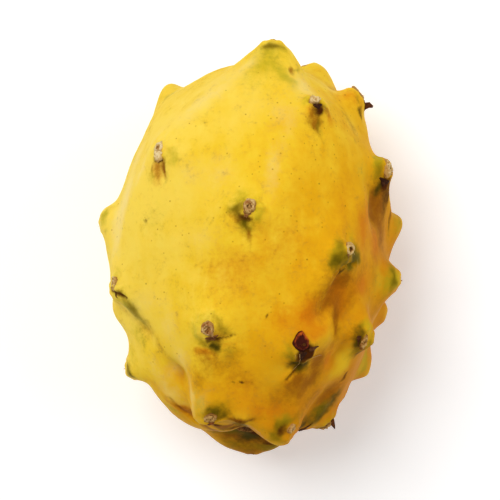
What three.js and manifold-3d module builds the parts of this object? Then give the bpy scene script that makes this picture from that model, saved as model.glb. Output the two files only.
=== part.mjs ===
// A yellow dragon fruit, as picked, lying on its side: one solid.
// Millimetres. +Z is up and the fruit rests on z = 0. +Y runs along its axis to the flower end.
// Each point of a unit sphere is carried to the plain body and then pushed out by the tubercles
// and ridges near it. The woody pads, dried scales and the two scars are sunk in and fused.

import * as THREE from 'three';
import { mergeVertices } from 'three/addons/utils/BufferGeometryUtils.js';
import Module from 'manifold-3d';

const wasm = await Module();
wasm.setup();

// ---- The plain body

const body = {
	radius: 34.4, // at the middle, between the tubercles
	flowerLength: 48.5, // from the middle to the flower end
	stemLength: 50, // from the middle to the stem end
	flowerBlunt: 1.97, // 2 is an ellipsoid, and more is blunter
	stemBlunt: 2.4,
	taper: 0.05, // how much wider the flower half is
	skew: 0.02, // how far the axis strays towards +X on its way to the flower end
	bow: 0.0005, // and bends that way beyond the middle
	axisHeight: 35.6, // of the axis above the surface that the fruit lies on
	centre: { x: - 0.44, y: 1.04 } // moves the whole so that its box stands centred on the origin
};

// ---- Tubercles
// turn: degrees round the axis from straight up, towards +X. along: the tip's place on the axis.
// reach: how far the tip stands out. plump: 0 is a drawn-out cone, 1 a full round lobe.
// pad: how far past the tip the woody pad sits, round the axis and up towards the flower.

const placedTubercles = {
	a: { turn: 14, along: 52.9, reach: 8.6, plump: 1.7, pad: { round: 0, up: 14 } },
	b: { turn: 126, along: 48.6, reach: 7.4, plump: 1.8, pad: { round: 2, up: 12 } },
	c: { turn: 33, along: 38, reach: 5.4, plump: 0.1 },
	d: { turn: 88, along: 40.8, reach: 6.2, plump: 1.2 },
	e: { turn: - 111, along: 43, reach: 6.8, plump: 0.8, pad: { round: - 4, up: 2 } },
	f: { turn: - 41, along: 26, reach: 4.8, plump: 0 },
	g: { turn: 78, along: 21.5, reach: 5.2, plump: 0.4 },
	h: { turn: 0, along: 10, reach: 5.0, plump: 0 },
	i: { turn: - 88, along: 7.8, reach: 5.7, plump: 1.4, pad: { round: - 3.5, up: - 1.5 } },
	j: { turn: 101, along: 6.4, reach: 6.9, plump: 1.2, pad: { round: 4, up: 0 } },
	k: { turn: 38, along: - 0.5, reach: 5.4, plump: 0.1 },
	l: { turn: 82, along: - 8.6, reach: 6.2, plump: 1.0, pad: { round: 3.5, up: 0 } },
	m: { turn: - 66, along: - 11, reach: 4.8, plump: 0.1 },
	n: { turn: 112, along: - 18.6, reach: 7.6, plump: 1.0, pad: { round: 3, up: 0 } },
	o: { turn: - 17, along: - 20.6, reach: 5.0, plump: 0.1 },
	p: { turn: 60, along: - 24.0, reach: 6.2, plump: 0.9 },
	q: { turn: 23, along: - 27, reach: 5.4, plump: 0.2 },
	r: { turn: 106, along: - 34, reach: 6.0, plump: 1.1, pad: { round: 3.5, up: 0 } },
	s: { turn: - 84, along: - 33.2, reach: 4.9, plump: 1.3, pad: { round: - 3.5, up: - 1 } },
	t: { turn: 98, along: - 41, reach: 2.4, plump: 0.7, pad: { round: 3, up: 0 } },
	u: { turn: - 120, along: - 43.5, reach: 2.8, plump: 0.8, pad: { round: - 3, up: 0 } },
	v: { turn: - 25, along: - 44.6, reach: 5.6, plump: 0.3 },
	w: { turn: 27, along: - 50.2, reach: 5.8, plump: 1.3, pad: { round: 2.6, up: 3.8 } },
	x: { turn: 80, along: - 46.5, reach: 3.2, plump: 0.3 },
	y: { turn: 172, along: - 56.6, reach: 8.4, plump: 3.6, pad: { round: 0, up: 11 } },
	restRight: { turn: 162, along: 22, reach: 7.1, plump: 0.4 },
	restLeft: { turn: - 158, along: 2, reach: 5.4, plump: 0.4 },
	restStem: { turn: 174, along: - 24, reach: 5.4, plump: 0.4 }
};

// The rest fill the underside, along a golden spiral, where there is room.
const spiral = {
	angle: 137.5,
	count: 60,
	endGap: 6,
	spacing: 17.5, // between one tip and the next
	highest: - 14, // all of them are this far under the axis
	clearance: 1.2, // and this far above the surface that the fruit lies on
	reach: 4.6,
	plump: 0.4
};

const onTip = { round: 0, up: 0 };

const tubercleForm = {
	coneFade: 9.0, // how wide the whole tubercle spreads
	conePower: 1.45,
	nub: { radius: 3.4, share: 0.38 }, // the raised tip, and its part of the height
	lobe: { radius: 6.4, share: 0.85 }, // the same for a plump one
	nubPower: 2.6,
	merge: 2.4 // how sharply neighbours meet: more gives a sharper crease
};

// Towards the stem the tubercles droop, and towards the flower they point up it.
const stemwards = { until: - 40, upperReach: 1.3, lowerReach: 0.66, lean: - 0.12 };
const flowerwards = { from: 8, upperReach: 0.72, lowerReach: 1.4, lean: 0.42 };

const ridgeForm = { height: 0.9, fade: 6, longest: 38, crown: 1.5 }; // crown rounds the crest

// Ridges that stand out from the rest, or hardly show. Going from the first to the second,
// steep is the fade to the right. by is a place on the body that the ridge bends through,
// and first its height before the bend, where that differs.
const crests = [
	{ between: [ 'a', 'f' ], height: 3.0, fade: 4.5 },
	{ between: [ 'a', 'e' ], height: 0.6, fade: 6 },
	{ between: [ 'c', 'h' ], height: 1.8, fade: 6 },
	{ between: [ 'c', 'k' ], height: 0.2, fade: 6 },
	{ between: [ 'd', 'g' ], height: 0.9, fade: 6 },
	{ between: [ 'e', 'i' ], height: 1.0, fade: 6 },
	{ between: [ 'f', 'h' ], height: 0.2, fade: 6 },
	{ between: [ 'g', 'j' ], height: 3.2, fade: 4 },
	{ between: [ 'h', 'k' ], height: 0.3, fade: 6 },
	{ between: [ 'h', 'o' ], height: 0.3, fade: 6 },
	{ between: [ 'i', 'm' ], height: 3.1, fade: 6 },
	{ between: [ 'j', 'l' ], height: 2.4, fade: 5 },
	{ between: [ 'q', 'k' ], by: [ 33.5, - 9 ], first: 1.4, height: 3.2, fade: 4.5, steep: 1.6 },
	{ between: [ 'm', 's' ], height: 0.1, fade: 6 },
	{ between: [ 's', 'u' ], height: 0.1, fade: 6 },
	{ between: [ 'm', 'f' ], height: 2.4, fade: 4.5 },
	{ between: [ 'n', 'r' ], height: 0.1, fade: 6 },
	{ between: [ 'o', 'v' ], height: 2.4, fade: 5, steep: 3 },
	{ between: [ 'w', 'q' ], height: 2.2, fade: 5, steep: 3 },
	{ between: [ 'o', 'q' ], height: 0.5, fade: 6 },
	{ between: [ 'v', 'w' ], by: [ - 3, - 41.4 ], height: 3.6, fade: 4, steep: 1.3 },
	{ between: [ 'w', 'x' ], height: 3.0, fade: 4, steep: 1.6 }
];

// Swells between the tubercles, with grooves and dents where height is below 0.
// from and to are places on the body: turn and along.
const swells = [
	{ from: [ 34, - 21.5 ], height: 2.4, radius: 3.8 },
	{ from: [ - 85, - 25 ], height: - 2.9, radius: 4.8 },
	{ from: [ - 84, - 17 ], height: 2.2, radius: 5.5 },
	{ from: [ - 75, - 14 ], to: [ - 56, - 22 ], height: - 0.9, radius: 3 },
	{ from: [ - 56, - 22 ], to: [ - 42, - 33 ], height: - 1.2, radius: 4 },
	{ from: [ - 42, - 33 ], to: [ - 48, - 44 ], height: - 2.2, radius: 4 },
	{ from: [ 25, - 9 ], to: [ 22, - 17 ], height: 0.6, radius: 3 },
	{ from: [ 39, - 10 ], to: [ 33, - 17 ], height: - 1.4, radius: 2.6 },
	{ from: [ 45, - 13 ], to: [ 52, - 24 ], height: - 1.8, radius: 3.6 },
	{ from: [ 66, - 18 ], to: [ 48, - 29 ], height: - 1.4, radius: 3 },
	{ from: [ 68, 15 ], to: [ 68, 8 ], height: - 1.8, radius: 4 },
	{ from: [ 56, - 38 ], to: [ 44, - 45 ], height: - 1.6, radius: 3.6 },
	{ from: [ - 90, 36 ], height: 1.0, radius: 7 },
	{ from: [ - 95, - 39 ], height: - 3.4, radius: 4.4 },
	{ from: [ 50, 45 ], height: - 2.6, radius: 3 },
	{ from: [ - 60, 45 ], height: 0.3, radius: 5 },
	{ from: [ - 6, - 46.5 ], to: [ 0, - 48.8 ], height: - 1.8, radius: 3.2 }
];

const hollowForm = {
	depth: 0.8, // of the dip under each tip
	below: 5.2, // from the tip's middle down to the dip's
	halfWidth: 4.2,
	halfHeight: 2.6
};

// ---- What grows on the skin

const padForm = {
	halfWidth: 1.75,
	halfHeight: 2.3, // measured along the fruit
	stand: 0.5, // above the skin
	rim: 0.7, // where the rim's crest is, as a share of the half width
	pitRadius: 0.34,
	pitDepth: 0.5,
	sunk: 1.6,
	sides: 8
};

const scaleForm = {
	length: 2.2,
	halfWidth: 1.5,
	flatness: 0.45, // thickness over width
	tip: 0.45, // width at the tip over width at the root
	below: 1.3, // from the pad's middle to the scale's root
	deep: 0.6, // how far under the tip the root lies
	sunk: 1.0,
	lift: - 28, // degrees off the plane that touches the tip: the flank falls away from it
	sides: 6
};

// Scales that are longer than the rest, or stand off the skin.
const longScales = {
	d: { below: 1.6, deep: 1.4, length: 3.8, lift: 35 },
	x: { below: 0.6, length: 2.8, lift: 115 },
	i: { length: 2.2, lift: - 5 }
};

const navel = { depth: 4.2, radius: 6.5, ring: { radius: 3.6, thickness: 0.9, stand: 0.8 } };
const stemScar = { depth: 4.0, radius: 9.0, stub: { radius: 3.2, stand: 0.9 } };
const endSides = 12;
const endSunk = 2.5;
const tipSpan = 1.5; // the skin's slope at a tip is measured this far to each side

// ---- Mesh

const sphereDetail = 14;
const crowding = { share: 0.45, angle: 0.15 }; // draws vertices towards the tips

const axis = new THREE.Vector3( 0, 1, 0 );
const { lerp, clamp, smoothstep, degToRad } = THREE.MathUtils;

function bodyEnd( y ) {

	return y > 0 ? [ body.flowerLength, body.flowerBlunt ] : [ body.stemLength, body.stemBlunt ];

}

function bodyPoint( direction ) {

	const [ length, n ] = bodyEnd( direction.y );
	const across = Math.hypot( direction.x, direction.z );
	const blunt = ( across ** n + Math.abs( direction.y ) ** n ) ** ( - 1 / n );
	const wide = body.radius * ( 1 + body.taper * direction.y );
	const stretched = new THREE.Vector3( wide * direction.x, length * direction.y, wide * direction.z );
	return stretched.multiplyScalar( blunt );

}

function bodyNormal( point ) {

	const [ length, n ] = bodyEnd( point.y );
	const across = Math.max( Math.hypot( point.x, point.z ), 1e-6 );
	const sideways = ( across / body.radius ) ** ( n - 1 ) / body.radius / across;
	const endways = Math.sign( point.y ) * ( Math.abs( point.y ) / length ) ** ( n - 1 ) / length;
	return new THREE.Vector3( point.x * sideways, endways, point.z * sideways ).normalize();

}

function directionAt( turn, share ) {

	const across = Math.sqrt( Math.max( 1 - share * share, 0 ) );
	const round = degToRad( turn );
	return new THREE.Vector3( across * Math.sin( round ), share, across * Math.cos( round ) );

}

// The point of the body at that turn, and that far along the axis.
function bodyAt( [ turn, along ] ) {

	const [ length, n ] = bodyEnd( along );
	const share = along / length;
	const across = ( 1 - Math.abs( share ) ** n ) ** ( 1 / n );
	return bodyPoint( directionAt( turn, share / Math.hypot( share, across ) ) );

}

// Finds where on the body a tubercle grows, so that its tip comes to the place asked for.
function growTubercle( name, { turn, along, reach, plump, pad = onTip } ) {

	const [ length ] = bodyEnd( along );
	const flower = smoothstep( along, stemwards.until, flowerwards.from );
	const slope = lerp( stemwards.lean, flowerwards.lean, flower );
	let share = along / ( length + reach );
	let direction, site, normal, upward, lean;
	for ( let step = 0; step < 12; step ++ ) {

		direction = directionAt( turn, share );
		site = bodyPoint( direction );
		normal = bodyNormal( site );
		upward = axis.clone().addScaledVector( normal, - normal.y ).normalize();
		lean = normal.clone().addScaledVector( upward, slope ).normalize();
		share = clamp( share + 0.6 * ( along - site.y - reach * lean.y ) / length, - 0.985, 0.985 );

	}

	return {
		name, direction, site, normal, upward, lean, reach, pad,
		around: new THREE.Vector3().crossVectors( upward, normal ),
		upperReach: lerp( stemwards.upperReach, flowerwards.upperReach, flower ),
		lowerReach: lerp( stemwards.lowerReach, flowerwards.lowerReach, flower ),
		nubRadius: lerp( tubercleForm.nub.radius, tubercleForm.lobe.radius, plump ),
		nubShare: lerp( tubercleForm.nub.share, tubercleForm.lobe.share, Math.min( plump, 1 ) ),
		tip: site.clone().addScaledVector( lean, reach )
	};

}

function growAll() {

	const grown = Object.entries( placedTubercles ).map( ( [ name, place ] ) => growTubercle( name, place ) );
	for ( let k = 0; k < spiral.count; k ++ ) {

		const along = ( body.flowerLength - spiral.endGap ) * ( 2 * ( k + 0.5 ) / spiral.count - 1 );
		const place = { turn: k * spiral.angle, along, reach: spiral.reach, plump: spiral.plump };
		const candidate = growTubercle( `spiral${ k }`, place );
		const nearest = Math.min( ...grown.map( ( t ) => t.tip.distanceTo( candidate.tip ) ) );
		const { z } = candidate.tip;
		const within = z < spiral.highest && z + body.axisHeight > spiral.clearance;
		if ( within && nearest > spiral.spacing ) grown.push( candidate );

	}

	return grown;

}

function ridgeAlong( start, end, height, { fade, steep = fade } ) {

	const line = new THREE.Line3( start, end );
	const right = end.clone().sub( start ).cross( bodyNormal( start.clone().lerp( end, 0.5 ) ) ).normalize();
	const sag = line.distanceSq() / ( 8 * body.radius ); // how far inside the body the line runs
	return { line, right, sag, height, fade, steep };

}

// Two tubercles are joined by a ridge when no third one stands between them.
function joinNeighbours( tubercles ) {

	const ridges = [];
	tubercles.forEach( ( a, i ) => tubercles.slice( i + 1 ).forEach( ( b ) => {

		const crest = crests.find( ( { between } ) => between.includes( a.name ) && between.includes( b.name ) );
		const length = a.site.distanceTo( b.site );
		const middle = a.site.clone().lerp( b.site, 0.5 );
		const alone = tubercles.every( ( c ) => c === a || c === b || c.site.distanceTo( middle ) > length / 2 );
		if ( ! crest && ! ( alone && length < ridgeForm.longest ) ) return;
		const backwards = crest && crest.between[ 0 ] === b.name;
		const path = backwards ? [ b.site, a.site ] : [ a.site, b.site ];
		if ( crest && crest.by ) path.splice( 1, 0, bodyAt( crest.by ) );
		const form = crest || ridgeForm;
		const heights = [ form.first ?? form.height, form.height ];
		path.slice( 1 ).forEach( ( end, k ) => ridges.push( ridgeAlong( path[ k ], end, heights[ k ], form ) ) );

	} ) );
	return ridges;

}

const tubercles = growAll();
const ridges = joinNeighbours( tubercles );
for ( const swell of swells ) {

	swell.line = new THREE.Line3( bodyAt( swell.from ), bodyAt( swell.to || swell.from ) );

}

// ---- Heights above the plain body

const offset = new THREE.Vector3();

function tubercleHeight( tubercle, point ) {

	offset.subVectors( point, tubercle.site );
	const u = offset.dot( tubercle.around );
	const v = offset.dot( tubercle.upward );
	const w = offset.dot( tubercle.normal );
	const distance = Math.hypot( u, v / ( v > 0 ? tubercle.upperReach : tubercle.lowerReach ), w );
	const nub = Math.exp( - ( ( distance / tubercle.nubRadius ) ** tubercleForm.nubPower ) );
	const cone = Math.exp( - ( ( distance / tubercleForm.coneFade ) ** tubercleForm.conePower ) );
	return tubercle.reach * lerp( cone, nub, tubercle.nubShare );

}

function hollowDepth( tubercle, point ) {

	offset.subVectors( point, tubercle.site );
	const u = offset.dot( tubercle.around ) / hollowForm.halfWidth;
	const v = ( offset.dot( tubercle.upward ) + hollowForm.below ) / hollowForm.halfHeight;
	const w = offset.dot( tubercle.normal ) / body.radius;
	return hollowForm.depth * Math.exp( - u * u - v * v - w * w );

}

const nearest = new THREE.Vector3();

function ridgeHeight( ridge, point ) {

	ridge.line.closestPointToPoint( point, true, nearest );
	const onRight = offset.subVectors( point, nearest ).dot( ridge.right ) > 0;
	const fade = onRight ? ridge.steep : ridge.fade;
	const away = Math.hypot( Math.max( offset.length() - ridge.sag, 0 ), ridgeForm.crown ) - ridgeForm.crown;
	return ridge.height * Math.exp( - away / fade );

}

function swellHeight( { line, height, radius }, point ) {

	line.closestPointToPoint( point, true, nearest );
	return height * Math.exp( - point.distanceToSquared( nearest ) / radius ** 2 );

}

function endDimple( base ) {

	const { depth, radius } = base.y > 0 ? navel : stemScar;
	return depth * Math.exp( - ( ( Math.hypot( base.x, base.z ) / radius ) ** 4 ) );

}

function settle( point ) {

	point.x += body.skew * point.y + body.bow * Math.max( point.y, 0 ) ** 2 + body.centre.x;
	point.y += body.centre.y;
	point.z += body.axisHeight;
	return point;

}

function surfacePoint( direction ) {

	const base = bodyPoint( direction );
	const normal = bodyNormal( base );
	const push = new THREE.Vector3();
	let total = 0;
	let sunk = endDimple( base );
	for ( const tubercle of tubercles ) {

		const weight = tubercleHeight( tubercle, base ) ** tubercleForm.merge;
		push.addScaledVector( tubercle.lean, weight );
		total += weight;
		sunk += hollowDepth( tubercle, base );

	}

	for ( const ridge of ridges ) {

		const weight = ridgeHeight( ridge, base ) ** tubercleForm.merge;
		push.addScaledVector( normal, weight );
		total += weight;

	}

	for ( const swell of swells ) sunk -= swellHeight( swell, base );
	const point = base.clone().addScaledVector( push.normalize(), total ** ( 1 / tubercleForm.merge ) );
	return settle( point.addScaledVector( normal, - sunk ) );

}

function crowded( direction ) {

	const moved = direction.clone();
	for ( const tubercle of tubercles ) {

		const angle = direction.angleTo( tubercle.direction ) / crowding.angle;
		offset.subVectors( tubercle.direction, direction );
		moved.addScaledVector( offset, crowding.share * Math.exp( - angle * angle ) );

	}

	return moved.normalize();

}

// ---- Solids

function solidFrom( geometry ) {

	geometry.deleteAttribute( 'normal' );
	geometry.deleteAttribute( 'uv' );
	const merged = mergeVertices( geometry, 1e-4 );
	const corners = [ ...merged.getIndex().array ];
	const faces = [];
	for ( let i = 0; i < corners.length; i += 3 ) {

		const [ a, b, c ] = corners.slice( i, i + 3 );
		if ( a !== b && b !== c && c !== a ) faces.push( a, b, c );

	}

	const vertProperties = new Float32Array( merged.getAttribute( 'position' ).array );
	const mesh = new wasm.Mesh( { numProp: 3, vertProperties, triVerts: new Uint32Array( faces ) } );
	return new wasm.Manifold( mesh );

}

function skinSolid() {

	const geometry = mergedSphere();
	const position = geometry.getAttribute( 'position' );
	const vertex = new THREE.Vector3();
	for ( let i = 0; i < position.count; i ++ ) {

		vertex.fromBufferAttribute( position, i ).normalize();
		const point = surfacePoint( crowded( vertex ) );
		position.setXYZ( i, point.x, point.y, point.z );

	}

	return solidFrom( geometry );

}

function mergedSphere() {

	const sphere = new THREE.IcosahedronGeometry( 1, sphereDetail );
	sphere.deleteAttribute( 'normal' );
	sphere.deleteAttribute( 'uv' );
	return mergeVertices( sphere, 1e-5 );

}

function shifted( direction, way, distance ) {

	return direction.clone().addScaledVector( way, distance ).normalize();

}

// Where a tubercle's pad and scale sit, and which way the skin faces there.
function tipOf( tubercle ) {

	const aside = shifted( tubercle.direction, tubercle.around, tubercle.pad.round / body.radius );
	const direction = shifted( aside, axis, tubercle.pad.up / body.flowerLength );
	const [ across, along ] = [ tubercle.around, tubercle.upward ].map( ( way ) => {

		const step = tipSpan / body.radius;
		const ahead = surfacePoint( shifted( direction, way, step ) );
		return ahead.sub( surfacePoint( shifted( direction, way, - step ) ) );

	} );
	return { place: surfacePoint( direction ), outward: across.cross( along ).normalize() };

}

// A frame standing on the skin: x round the fruit, y off the skin, z towards the stem.
function frameOn( place, outward, upward ) {

	const off = outward.clone().normalize();
	const down = upward.clone().addScaledVector( off, - upward.dot( off ) ).normalize().negate();
	const round = new THREE.Vector3().crossVectors( off, down );
	return new THREE.Matrix4().makeBasis( round, off, down ).setPosition( place );

}

function lathed( profile, sides ) {

	return new THREE.LatheGeometry( profile.map( ( [ r, y ] ) => new THREE.Vector2( r, y ) ), sides );

}

function padSolid( tubercle ) {

	const { halfWidth, halfHeight, stand, rim, pitRadius, pitDepth, sunk, sides } = padForm;
	const profile = [
		[ 0, - sunk ], [ 1, - 0.5 ], [ rim, stand ], [ pitRadius, stand - 0.15 ], [ 0, stand - pitDepth ]
	];
	const geometry = lathed( profile, sides );
	geometry.scale( halfWidth, 1, halfHeight );
	const { place, outward } = tipOf( tubercle );
	geometry.applyMatrix4( frameOn( place, outward, tubercle.upward ) );
	return solidFrom( geometry );

}

function scaleSolid( tubercle ) {

	const form = { ...scaleForm, ...longScales[ tubercle.name ] };
	const { below, deep, length, lift, halfWidth, flatness, tip, sunk, sides } = form;
	const geometry = new THREE.CylinderGeometry( tip * halfWidth, halfWidth, length + sunk, sides );
	geometry.translate( 0, ( length + sunk ) / 2 - sunk, 0 );
	geometry.scale( 1, 1, flatness );
	geometry.rotateX( Math.PI / 2 - degToRad( lift ) );
	geometry.translate( 0, - deep, below );
	const { place, outward } = tipOf( tubercle );
	geometry.applyMatrix4( frameOn( place, outward, tubercle.upward ) );
	return solidFrom( geometry );

}

function endSolid( side, profile ) {

	const place = surfacePoint( new THREE.Vector3( 0, side, 0 ) );
	const geometry = lathed( profile, endSides );
	geometry.applyMatrix4( frameOn( place, new THREE.Vector3( 0, side, 0 ), new THREE.Vector3( 0, 0, 1 ) ) );
	return solidFrom( geometry );

}

function navelRing() {

	const { radius, thickness, stand } = navel.ring;
	return endSolid( 1, [
		[ 0, - endSunk ], [ radius + thickness, - endSunk ], [ radius + thickness, stand * 0.5 ],
		[ radius, stand ], [ radius - thickness, 0.2 ], [ 0, 0.1 ]
	] );

}

function stemStub() {

	const { radius, stand } = stemScar.stub;
	return endSolid( - 1, [
		[ 0, - endSunk ], [ radius * 1.3, - endSunk ], [ radius * 1.2, 0 ], [ radius, stand ], [ 0, stand - 0.3 ]
	] );

}

// Those that the fruit lies on have no scale left.
function pressed( tubercle ) {

	return tubercle.tip.z + body.axisHeight < padForm.halfHeight;

}

function fruitGeometry() {

	let whole = skinSolid();
	for ( const tubercle of tubercles ) {

		whole = whole.add( padSolid( tubercle ) );
		if ( ! pressed( tubercle ) ) whole = whole.add( scaleSolid( tubercle ) );

	}

	whole = whole.add( navelRing() ).add( stemStub() );
	whole = whole.trimByPlane( [ 0, 0, 1 ], 0 ); // the flats that it lies on
	const { vertProperties, triVerts } = whole.getMesh();
	const geometry = new THREE.BufferGeometry();
	geometry.setAttribute( 'position', new THREE.Float32BufferAttribute( vertProperties, 3 ) );
	geometry.setIndex( [ ...triVerts ] );
	geometry.computeVertexNormals();
	return geometry;

}

const skin = new THREE.MeshStandardMaterial( { color: 0xe8b81f, roughness: 0.45, metalness: 0 } );
const fruit = new THREE.Mesh( fruitGeometry(), skin );
fruit.name = 'fruit';

const root = new THREE.Group();
root.add( fruit );

export default root;
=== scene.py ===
import math
import random

import bmesh
import bpy
import numpy as np
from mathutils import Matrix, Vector, noise
from mathutils.bvhtree import BVHTree


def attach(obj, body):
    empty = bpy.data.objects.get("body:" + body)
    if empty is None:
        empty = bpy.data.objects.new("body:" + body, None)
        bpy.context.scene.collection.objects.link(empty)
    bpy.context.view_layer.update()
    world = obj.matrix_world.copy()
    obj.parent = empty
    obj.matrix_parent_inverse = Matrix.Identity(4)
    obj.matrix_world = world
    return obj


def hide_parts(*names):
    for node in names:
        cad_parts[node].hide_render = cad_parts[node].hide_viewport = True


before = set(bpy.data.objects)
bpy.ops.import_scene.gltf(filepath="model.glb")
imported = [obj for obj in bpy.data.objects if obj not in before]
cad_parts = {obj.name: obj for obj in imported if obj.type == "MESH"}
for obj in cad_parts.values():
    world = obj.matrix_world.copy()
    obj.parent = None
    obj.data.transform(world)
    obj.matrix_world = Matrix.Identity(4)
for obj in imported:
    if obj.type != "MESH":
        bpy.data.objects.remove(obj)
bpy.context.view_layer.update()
mm = 0.001  # the shapes below are worked out in millimetres
print("frame loaded")

# The plain body: +Y runs to the flower end, +Z is up.
body = {
    "radius": 34.4,
    "flowerLength": 48.5,
    "stemLength": 50.0,
    "flowerBlunt": 1.97,  # 2 is an ellipsoid, more is blunter
    "stemBlunt": 2.4,
    "taper": 0.05,
    "skew": 0.02,
    "bow": 0.0005,
    "axisHeight": 35.6,
    "centre": (-0.44, 1.04),
}

# turn is in degrees round the axis from straight up, along is the tip's place on the axis,
# pad is how far past the tip the woody pad sits, round the axis and up it.
tubercles = {
    "a": dict(turn=14, along=52.9, reach=8.6, plump=1.7, pad=(0, 14)),
    "b": dict(turn=126, along=48.6, reach=7.4, plump=1.8, pad=(2, 12)),
    "c": dict(turn=33, along=38, reach=5.4, plump=0.1),
    "d": dict(turn=88, along=40.8, reach=6.2, plump=1.2),
    "e": dict(turn=-111, along=43, reach=6.8, plump=0.8, pad=(-4, 2)),
    "f": dict(turn=-41, along=26, reach=4.8, plump=0),
    "g": dict(turn=78, along=21.5, reach=5.2, plump=0.4),
    "h": dict(turn=0, along=10, reach=5.0, plump=0),
    "i": dict(turn=-88, along=7.8, reach=5.7, plump=1.4, pad=(-3.5, -1.5)),
    "j": dict(turn=101, along=6.4, reach=6.9, plump=1.2, pad=(4, 0)),
    "k": dict(turn=38, along=-0.5, reach=5.4, plump=0.1),
    "l": dict(turn=82, along=-8.6, reach=6.2, plump=1.0, pad=(3.5, 0)),
    "m": dict(turn=-66, along=-11, reach=4.8, plump=0.1),
    "n": dict(turn=112, along=-18.6, reach=7.6, plump=1.0, pad=(3, 0)),
    "o": dict(turn=-17, along=-20.6, reach=5.0, plump=0.1),
    "p": dict(turn=60, along=-24.0, reach=6.2, plump=0.9),
    "q": dict(turn=23, along=-27, reach=5.4, plump=0.2),
    "r": dict(turn=106, along=-34, reach=6.0, plump=1.1, pad=(3.5, 0)),
    "s": dict(turn=-84, along=-33.2, reach=4.9, plump=1.3, pad=(-3.5, -1)),
    "t": dict(turn=98, along=-41, reach=2.4, plump=0.7, pad=(3, 0)),
    "u": dict(turn=-120, along=-43.5, reach=2.8, plump=0.8, pad=(-3, 0)),
    "v": dict(turn=-25, along=-44.6, reach=5.6, plump=0.3),
    "w": dict(turn=27, along=-50.2, reach=5.8, plump=1.3, pad=(2.6, 3.8)),
    "x": dict(turn=80, along=-46.5, reach=3.2, plump=0.3),
    "y": dict(turn=172, along=-56.6, reach=8.4, plump=3.6, pad=(0, 11)),
    "restRight": dict(turn=162, along=22, reach=7.1, plump=0.4),
    "restLeft": dict(turn=-158, along=2, reach=5.4, plump=0.4),
    "restStem": dict(turn=174, along=-24, reach=5.4, plump=0.4),
}

# The underside carries the rest on a golden spiral.
spiral = {"angle": 137.5, "count": 60, "endGap": 6, "spacing": 17.5, "highest": -14, "clearance": 1.2,
          "reach": 4.6, "plump": 0.4}

tubercleForm = {
    "coneFade": 9.0,
    "conePower": 1.45,
    "nubRadius": (3.4, 6.4),  # drawn-out tip, plump lobe
    "nubShare": (0.38, 0.85),
    "nubPower": 2.6,
    "merge": 2.4,
    "turning": (-40, 8),  # below the first they droop, above the second they point to the flower
    "lean": (-0.12, 0.42),
    "upperReach": (1.3, 0.72),
    "lowerReach": (0.66, 1.4),
    "settleRounds": 12,  # to find where a tubercle starts, so that its tip ends up where it is wanted
    "settleStep": 0.6,
    "endmost": 0.985,
}

ridgeForm = {"height": 0.9, "fade": 6, "longest": 38, "crown": 1.5}

# Crests that stand out, or hardly show: height, fade, and the fade on the right side where it is steep.
crests = {
    ("a", "f"): (3.0, 4.5), ("a", "e"): (0.6, 6), ("c", "h"): (1.8, 6), ("c", "k"): (0.2, 6),
    ("d", "g"): (0.9, 6), ("e", "i"): (1.0, 6), ("f", "h"): (0.2, 6), ("g", "j"): (3.2, 4),
    ("h", "k"): (0.3, 6), ("h", "o"): (0.3, 6), ("i", "m"): (3.1, 6), ("j", "l"): (2.4, 5),
    ("q", "k"): (3.2, 4.5, 1.6), ("m", "s"): (0.1, 6), ("m", "f"): (2.4, 4.5), ("n", "r"): (0.1, 6),
    ("o", "v"): (2.4, 5, 3), ("w", "q"): (2.2, 5, 3), ("o", "q"): (0.5, 6), ("v", "w"): (3.6, 4, 1.3),
    ("w", "x"): (3.0, 4, 1.6), ("s", "u"): (0.1, 6),
}
# Places on the body that crests bend through, and the height before the bend.
crestBends = {("v", "w"): ((-3, -41.4), 3.6), ("q", "k"): ((33.5, -9), 1.4)}

# Swells, and dents below 0: the two ends as (turn, along), height, radius.
swells = [
    ((34, -21.5), (34, -21.5), 2.4, 3.8),
    ((-85, -25), (-85, -25), -2.9, 4.8),
    ((-84, -17), (-84, -17), 2.2, 5.5),
    ((-75, -14), (-56, -22), -0.9, 3),
    ((-56, -22), (-42, -33), -1.2, 4),
    ((-42, -33), (-48, -44), -2.2, 4),
    ((25, -9), (22, -17), 0.6, 3),
    ((39, -10), (33, -17), -1.4, 2.6),
    ((45, -13), (52, -24), -1.8, 3.6),
    ((66, -18), (48, -29), -1.4, 3),
    ((68, 15), (68, 8), -1.8, 4),
    ((56, -38), (44, -45), -1.6, 3.6),
    ((-90, 36), (-90, 36), 1.0, 7),
    ((-95, -39), (-95, -39), -3.4, 4.4),
    ((50, 45), (50, 45), -2.6, 3),
    ((-60, 45), (-60, 45), 0.3, 5),
    ((-6, -46.5), (0, -48.8), -1.8, 3.2),
]

hollowForm = {"depth": 0.8, "below": 5.2, "halfWidth": 4.2, "halfHeight": 2.6}
endDents = {"navel": (4.2, 6.5), "stem": (4.0, 9.0)}  # depth, radius
axis = np.array([0.0, 1.0, 0.0])


def unit(vectors):
    return vectors / np.maximum(np.linalg.norm(vectors, axis=-1, keepdims=True), 1e-9)


def smooth(value, low, high):
    share = np.clip((value - low) / (high - low), 0, 1)
    return share * share * (3 - 2 * share)


def lerp(pair, share):
    return pair[0] + (pair[1] - pair[0]) * share


def bodyEnd(y):
    flower = y > 0
    length = np.where(flower, body["flowerLength"], body["stemLength"])
    blunt = np.where(flower, body["flowerBlunt"], body["stemBlunt"])
    return length, blunt


def bodyPoints(directions):
    x, y, z = directions.T
    length, n = bodyEnd(y)
    blunt = (np.hypot(x, z) ** n + np.abs(y) ** n) ** (-1 / n)
    wide = body["radius"] * (1 + body["taper"] * y)
    return np.stack([wide * x, length * y, wide * z], 1) * blunt[:, None]


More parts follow.
